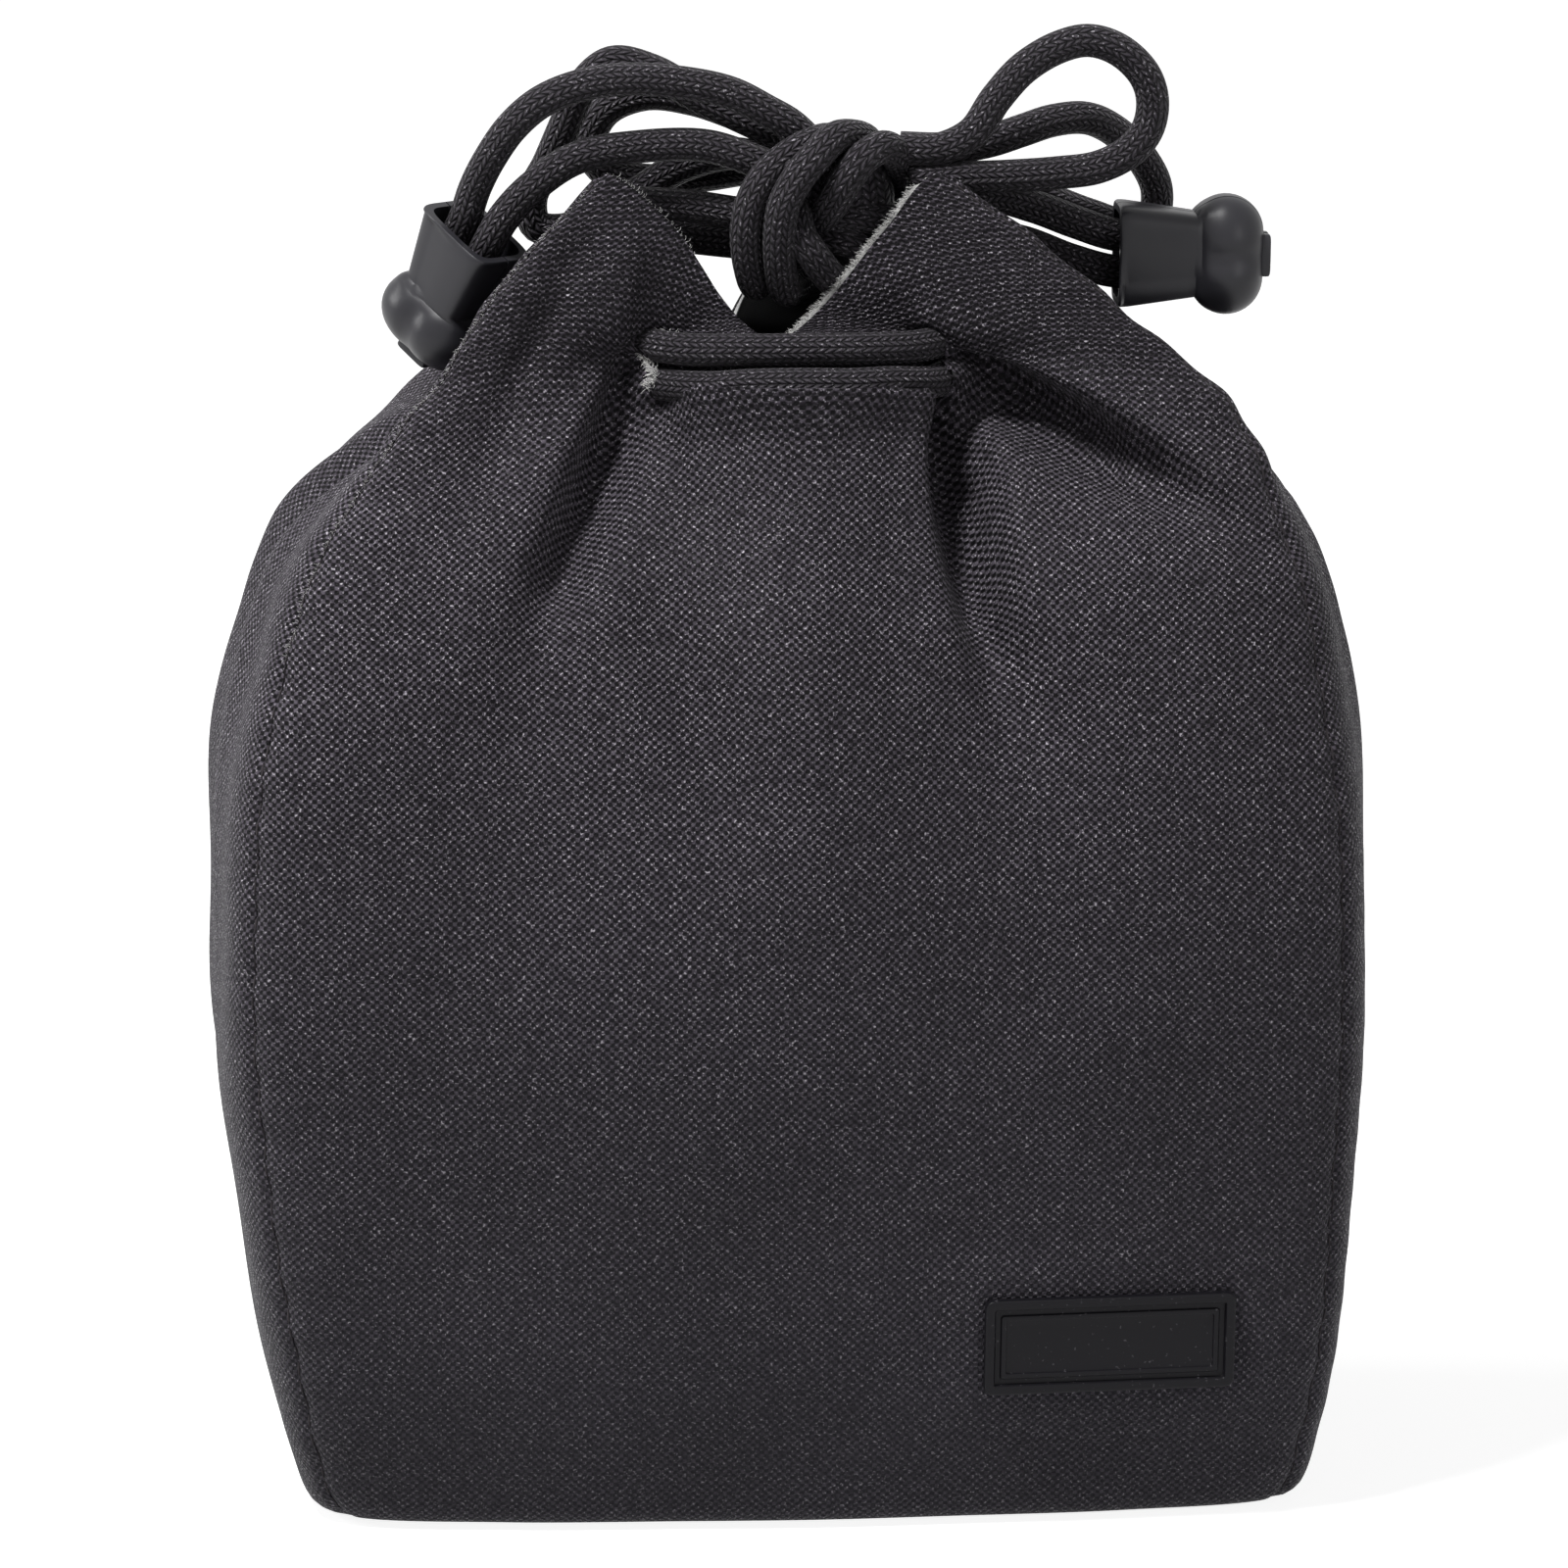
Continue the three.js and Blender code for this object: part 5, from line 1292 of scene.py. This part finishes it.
def stitch_tree():
    """Plump stitches end to end along a path."""
    tree, given, result = new_tree("lockstitches", {
        "Stitch Pitch": "NodeSocketFloat", "Stitch Length": "NodeSocketFloat",
        "Thread Width": "NodeSocketFloat",
    })
    path = add_node(tree, "GeometryNodeMeshToCurve", {"Mesh": given["Geometry"]}).outputs[0]
    seats = {"Curve": path, "Length": given["Stitch Pitch"]}
    seats = add_node(tree, "GeometryNodeCurveToPoints", seats, mode="LENGTH").outputs
    turn = {"Vector": seats["Tangent"]}
    turn = add_node(tree, "FunctionNodeAlignRotationToVector", turn, axis="Z").outputs[0]
    shape = {0: given["Thread Width"], 1: given["Thread Width"], 2: given["Stitch Length"]}
    shape = add_node(tree, "ShaderNodeCombineXYZ", shape).outputs[0]
    stitch = add_node(tree, "GeometryNodeMeshUVSphere", {"Segments": 8, "Rings": 6, "Radius": 0.5}).outputs[0]
    sewn = {"Points": seats["Points"], "Instance": stitch, "Rotation": turn, "Scale": shape}
    sewn = add_node(tree, "GeometryNodeInstanceOnPoints", sewn).outputs[0]
    sewn = add_node(tree, "GeometryNodeRealizeInstances", {"Geometry": sewn}).outputs[0]
    sewn = add_node(tree, "GeometryNodeSetMaterial", {"Geometry": sewn, "Material": THREAD}).outputs[0]
    sewn = add_node(tree, "GeometryNodeSetShadeSmooth", {"Geometry": sewn}).outputs[0]
    tree.links.new(sewn, result.inputs[0])
    return tree


def grow_along(name, paths, tree, slot, sizes):
    """Runs a tree along paths given in millimetres, and keeps the result as a plain mesh."""
    mesh = bpy.data.meshes.new(name + "_path")
    points = np.vstack(paths) * MM
    starts = np.cumsum([0] + [len(path) for path in paths])
    edges = [(i, i + 1) for a, b in zip(starts, starts[1:]) for i in range(a, b - 1)]
    mesh.from_pydata(points.tolist(), edges, [])
    guide = bpy.data.objects.new(name + "_path", mesh)
    bpy.context.scene.collection.objects.link(guide)
    modifier = guide.modifiers.new("grow", "NODES")
    modifier.node_group = tree
    for item in tree.interface.items_tree:
        if item.in_out == "INPUT" and item.name in sizes:
            modifier[item.identifier] = sizes[item.name]
    shown = guide.evaluated_get(bpy.context.evaluated_depsgraph_get())
    piece = bpy.data.objects.new(name, bpy.data.meshes.new_from_object(shown))
    bpy.context.scene.collection.objects.link(piece)
    guide.modifiers.remove(modifier)
    bpy.data.objects.remove(guide)
    return stand_in(piece, "pouch", slot)


def on_front(x, z, lift=0.3):
    """The dressed front surface nearest to a place in the front view, lifted a little off the cloth."""
    points, normals = surfaces["front"]
    away = np.hypot(points[..., 0] - x, points[..., 2] - z) + 0.1 * points[..., 1]
    at = np.unravel_index(away.argmin(), away.shape)
    return points[at] + lift * normals[at]


# The thread lies this far off the cloth
STITCH_LIFT = 0.12
fibres, stitches = fibre_tree(), stitch_tree()
front_points, front_normals = surfaces["front"]
edge = front_points[-1] - 0.9 * front_normals[-1]
# Padding shows at the notch beside the tongue, at the top of the left flap, and round the left slit
cut = edge[(edge[:, 0] > -3) & (edge[:, 0] < 17)]
grow_along("notch_edge_fibres", [cut], fibres, "batting", {
    "Spacing": 0.022 * MM, "Spread": 0.4 * MM, "Fibre Length": 1.1 * MM, "Lean": (-1.0, -0.6, 0.8), "Seed": 3,
})
peak = edge[(edge[:, 0] < -14) & (edge[:, 0] > -31)]
grow_along("flap_edge_fibres", [peak], fibres, "batting", {
    "Spacing": 0.25 * MM, "Spread": 0.25 * MM, "Fibre Length": 0.9 * MM, "Lean": (0.6, -0.7, 0.5), "Seed": 4,
})
SLIT_CURL = [(-19.6, 177), (-21.6, 177.6), (-23.4, 176.2), (-24, 173.8), (-23.4, 171.6), (-23.6, 169.8)]
curl = centreline([on_front(x, z, 0.5) for x, z in SLIT_CURL], 0.2)
grow_along("slit_fibres", [curl], fibres, "batting", {
    "Spacing": 0.03 * MM, "Spread": 0.4 * MM, "Fibre Length": 1.3 * MM, "Lean": (-0.3, -0.6, -0.3), "Seed": 6,
})
sewn_lines = []
for points, normals in (surfaces["front"], surfaces["back"]):
    lifted = points + STITCH_LIFT * normals
    sewn_lines += [lifted[4:-2, 0], lifted[4:-2, -1]]
grow_along("seam_stitches", sewn_lines, stitches, "shell_cloth", {
    "Stitch Pitch": 2.9 * MM, "Stitch Length": 2.3 * MM, "Thread Width": 0.34 * MM,
})
# The left seam of the front is frayed where the cloth is gathered
frayed = sewn_lines[0][sewn_lines[0][:, 2] > 132]
grow_along("seam_fibres", [frayed], fibres, "shell_cloth", {
    "Spacing": 0.16 * MM, "Spread": 0.15 * MM, "Fibre Length": 0.8 * MM, "Lean": (-0.4, -0.9, 0.2), "Seed": 8,
})


# Floor, lamps and world. Metres for the lamps: place, aim and size across, then watts.
LAMPS = {
    "key_lamp": ((-0.5, -0.45, 1.35), (0, 0, 0.12), 0.28, 21),
    "fill_lamp": ((1.2, -1.7, 0.6), (0, 0, 0.1), 0.6, 4),
    "rear_lamp": ((-1.6, 0.3, 0.75), (0, 0, 0.12), 0.5, 9),
}
# Strengths: the world as a light, and the floor as a background
WORLD_LIGHT, FLOOR_GLOW = 0.12, 0.88
FLOOR_RADIUS, FLOOR_SIDES, FLOOR_LEVEL = 6000, 64, -0.3


def background_rays(tree):
    """1 for each ray that shows the plain background: the camera's own, and one mirrored or let through."""
    path = add_node(tree, "ShaderNodeLightPath").outputs
    shown = {0: path["Is Camera Ray"], 1: path["Is Glossy Ray"]}
    shown = add_node(tree, "ShaderNodeMath", shown, operation="MAXIMUM").outputs[0]
    shown = {0: shown, 1: path["Is Transmission Ray"]}
    return add_node(tree, "ShaderNodeMath", shown, operation="MAXIMUM").outputs[0]


def lit_floor():
    # Matt white paper, almost white to the camera and in reflections. It keeps the pouch's shadow.
    material, tree, shader = new_material("white_paper_floor", Roughness=0.9, Specular_IOR_Level=0.1)
    shader.inputs["Base Color"].default_value = srgb("#bdbdbd")
    shader.inputs["Emission Color"].default_value = (1, 1, 1, 1)
    glow = {0: background_rays(tree), 1: FLOOR_GLOW}
    glow = add_node(tree, "ShaderNodeMath", glow, operation="MULTIPLY").outputs[0]
    tree.links.new(glow, shader.inputs["Emission Strength"])
    return material


def make_floor():
    angles = np.linspace(0, 2 * math.pi, FLOOR_SIDES, endpoint=False)
    rim = FLOOR_RADIUS * np.column_stack([np.cos(angles), np.sin(angles), 0 * angles])
    points = np.vstack([rim, [0, 0, 0]]) + (0, 0, FLOOR_LEVEL)
    faces = [(i, (i + 1) % FLOOR_SIDES, FLOOR_SIDES) for i in range(FLOOR_SIDES)]
    make_piece("floor", points, faces, lit_floor())


def add_lamp(name, place, aim, size, power):
    data = bpy.data.lights.new(name, "AREA")
    data.shape, data.size, data.energy = "DISK", size, power
    lamp = bpy.data.objects.new(name, data)
    bpy.context.scene.collection.objects.link(lamp)
    lamp.location = place
    lamp.rotation_euler = (Vector(aim) - Vector(place)).to_track_quat("-Z", "Y").to_euler()


def light_scene():
    world = bpy.data.worlds.new("studio")
    bpy.context.scene.world = world
    world.use_nodes = True
    tree = world.node_tree
    background = tree.nodes["Background"]
    background.inputs["Color"].default_value = (1, 1, 1, 1)
    strength = {"Value": background_rays(tree), "To Min": WORLD_LIGHT}
    strength = add_node(tree, "ShaderNodeMapRange", strength).outputs[0]
    tree.links.new(strength, background.inputs["Strength"])
    for name, lamp in LAMPS.items():
        add_lamp(name, *lamp)


make_floor()
light_scene()
bpy.context.scene.view_settings.view_transform = "Standard"

# The bow's loops and tails: each one's line in metres and its side
for name, piece in cords.items():
    if name.endswith("drawcord"):
        continue
    line = LINES[name] * MM
    side = name.split("_")[0]
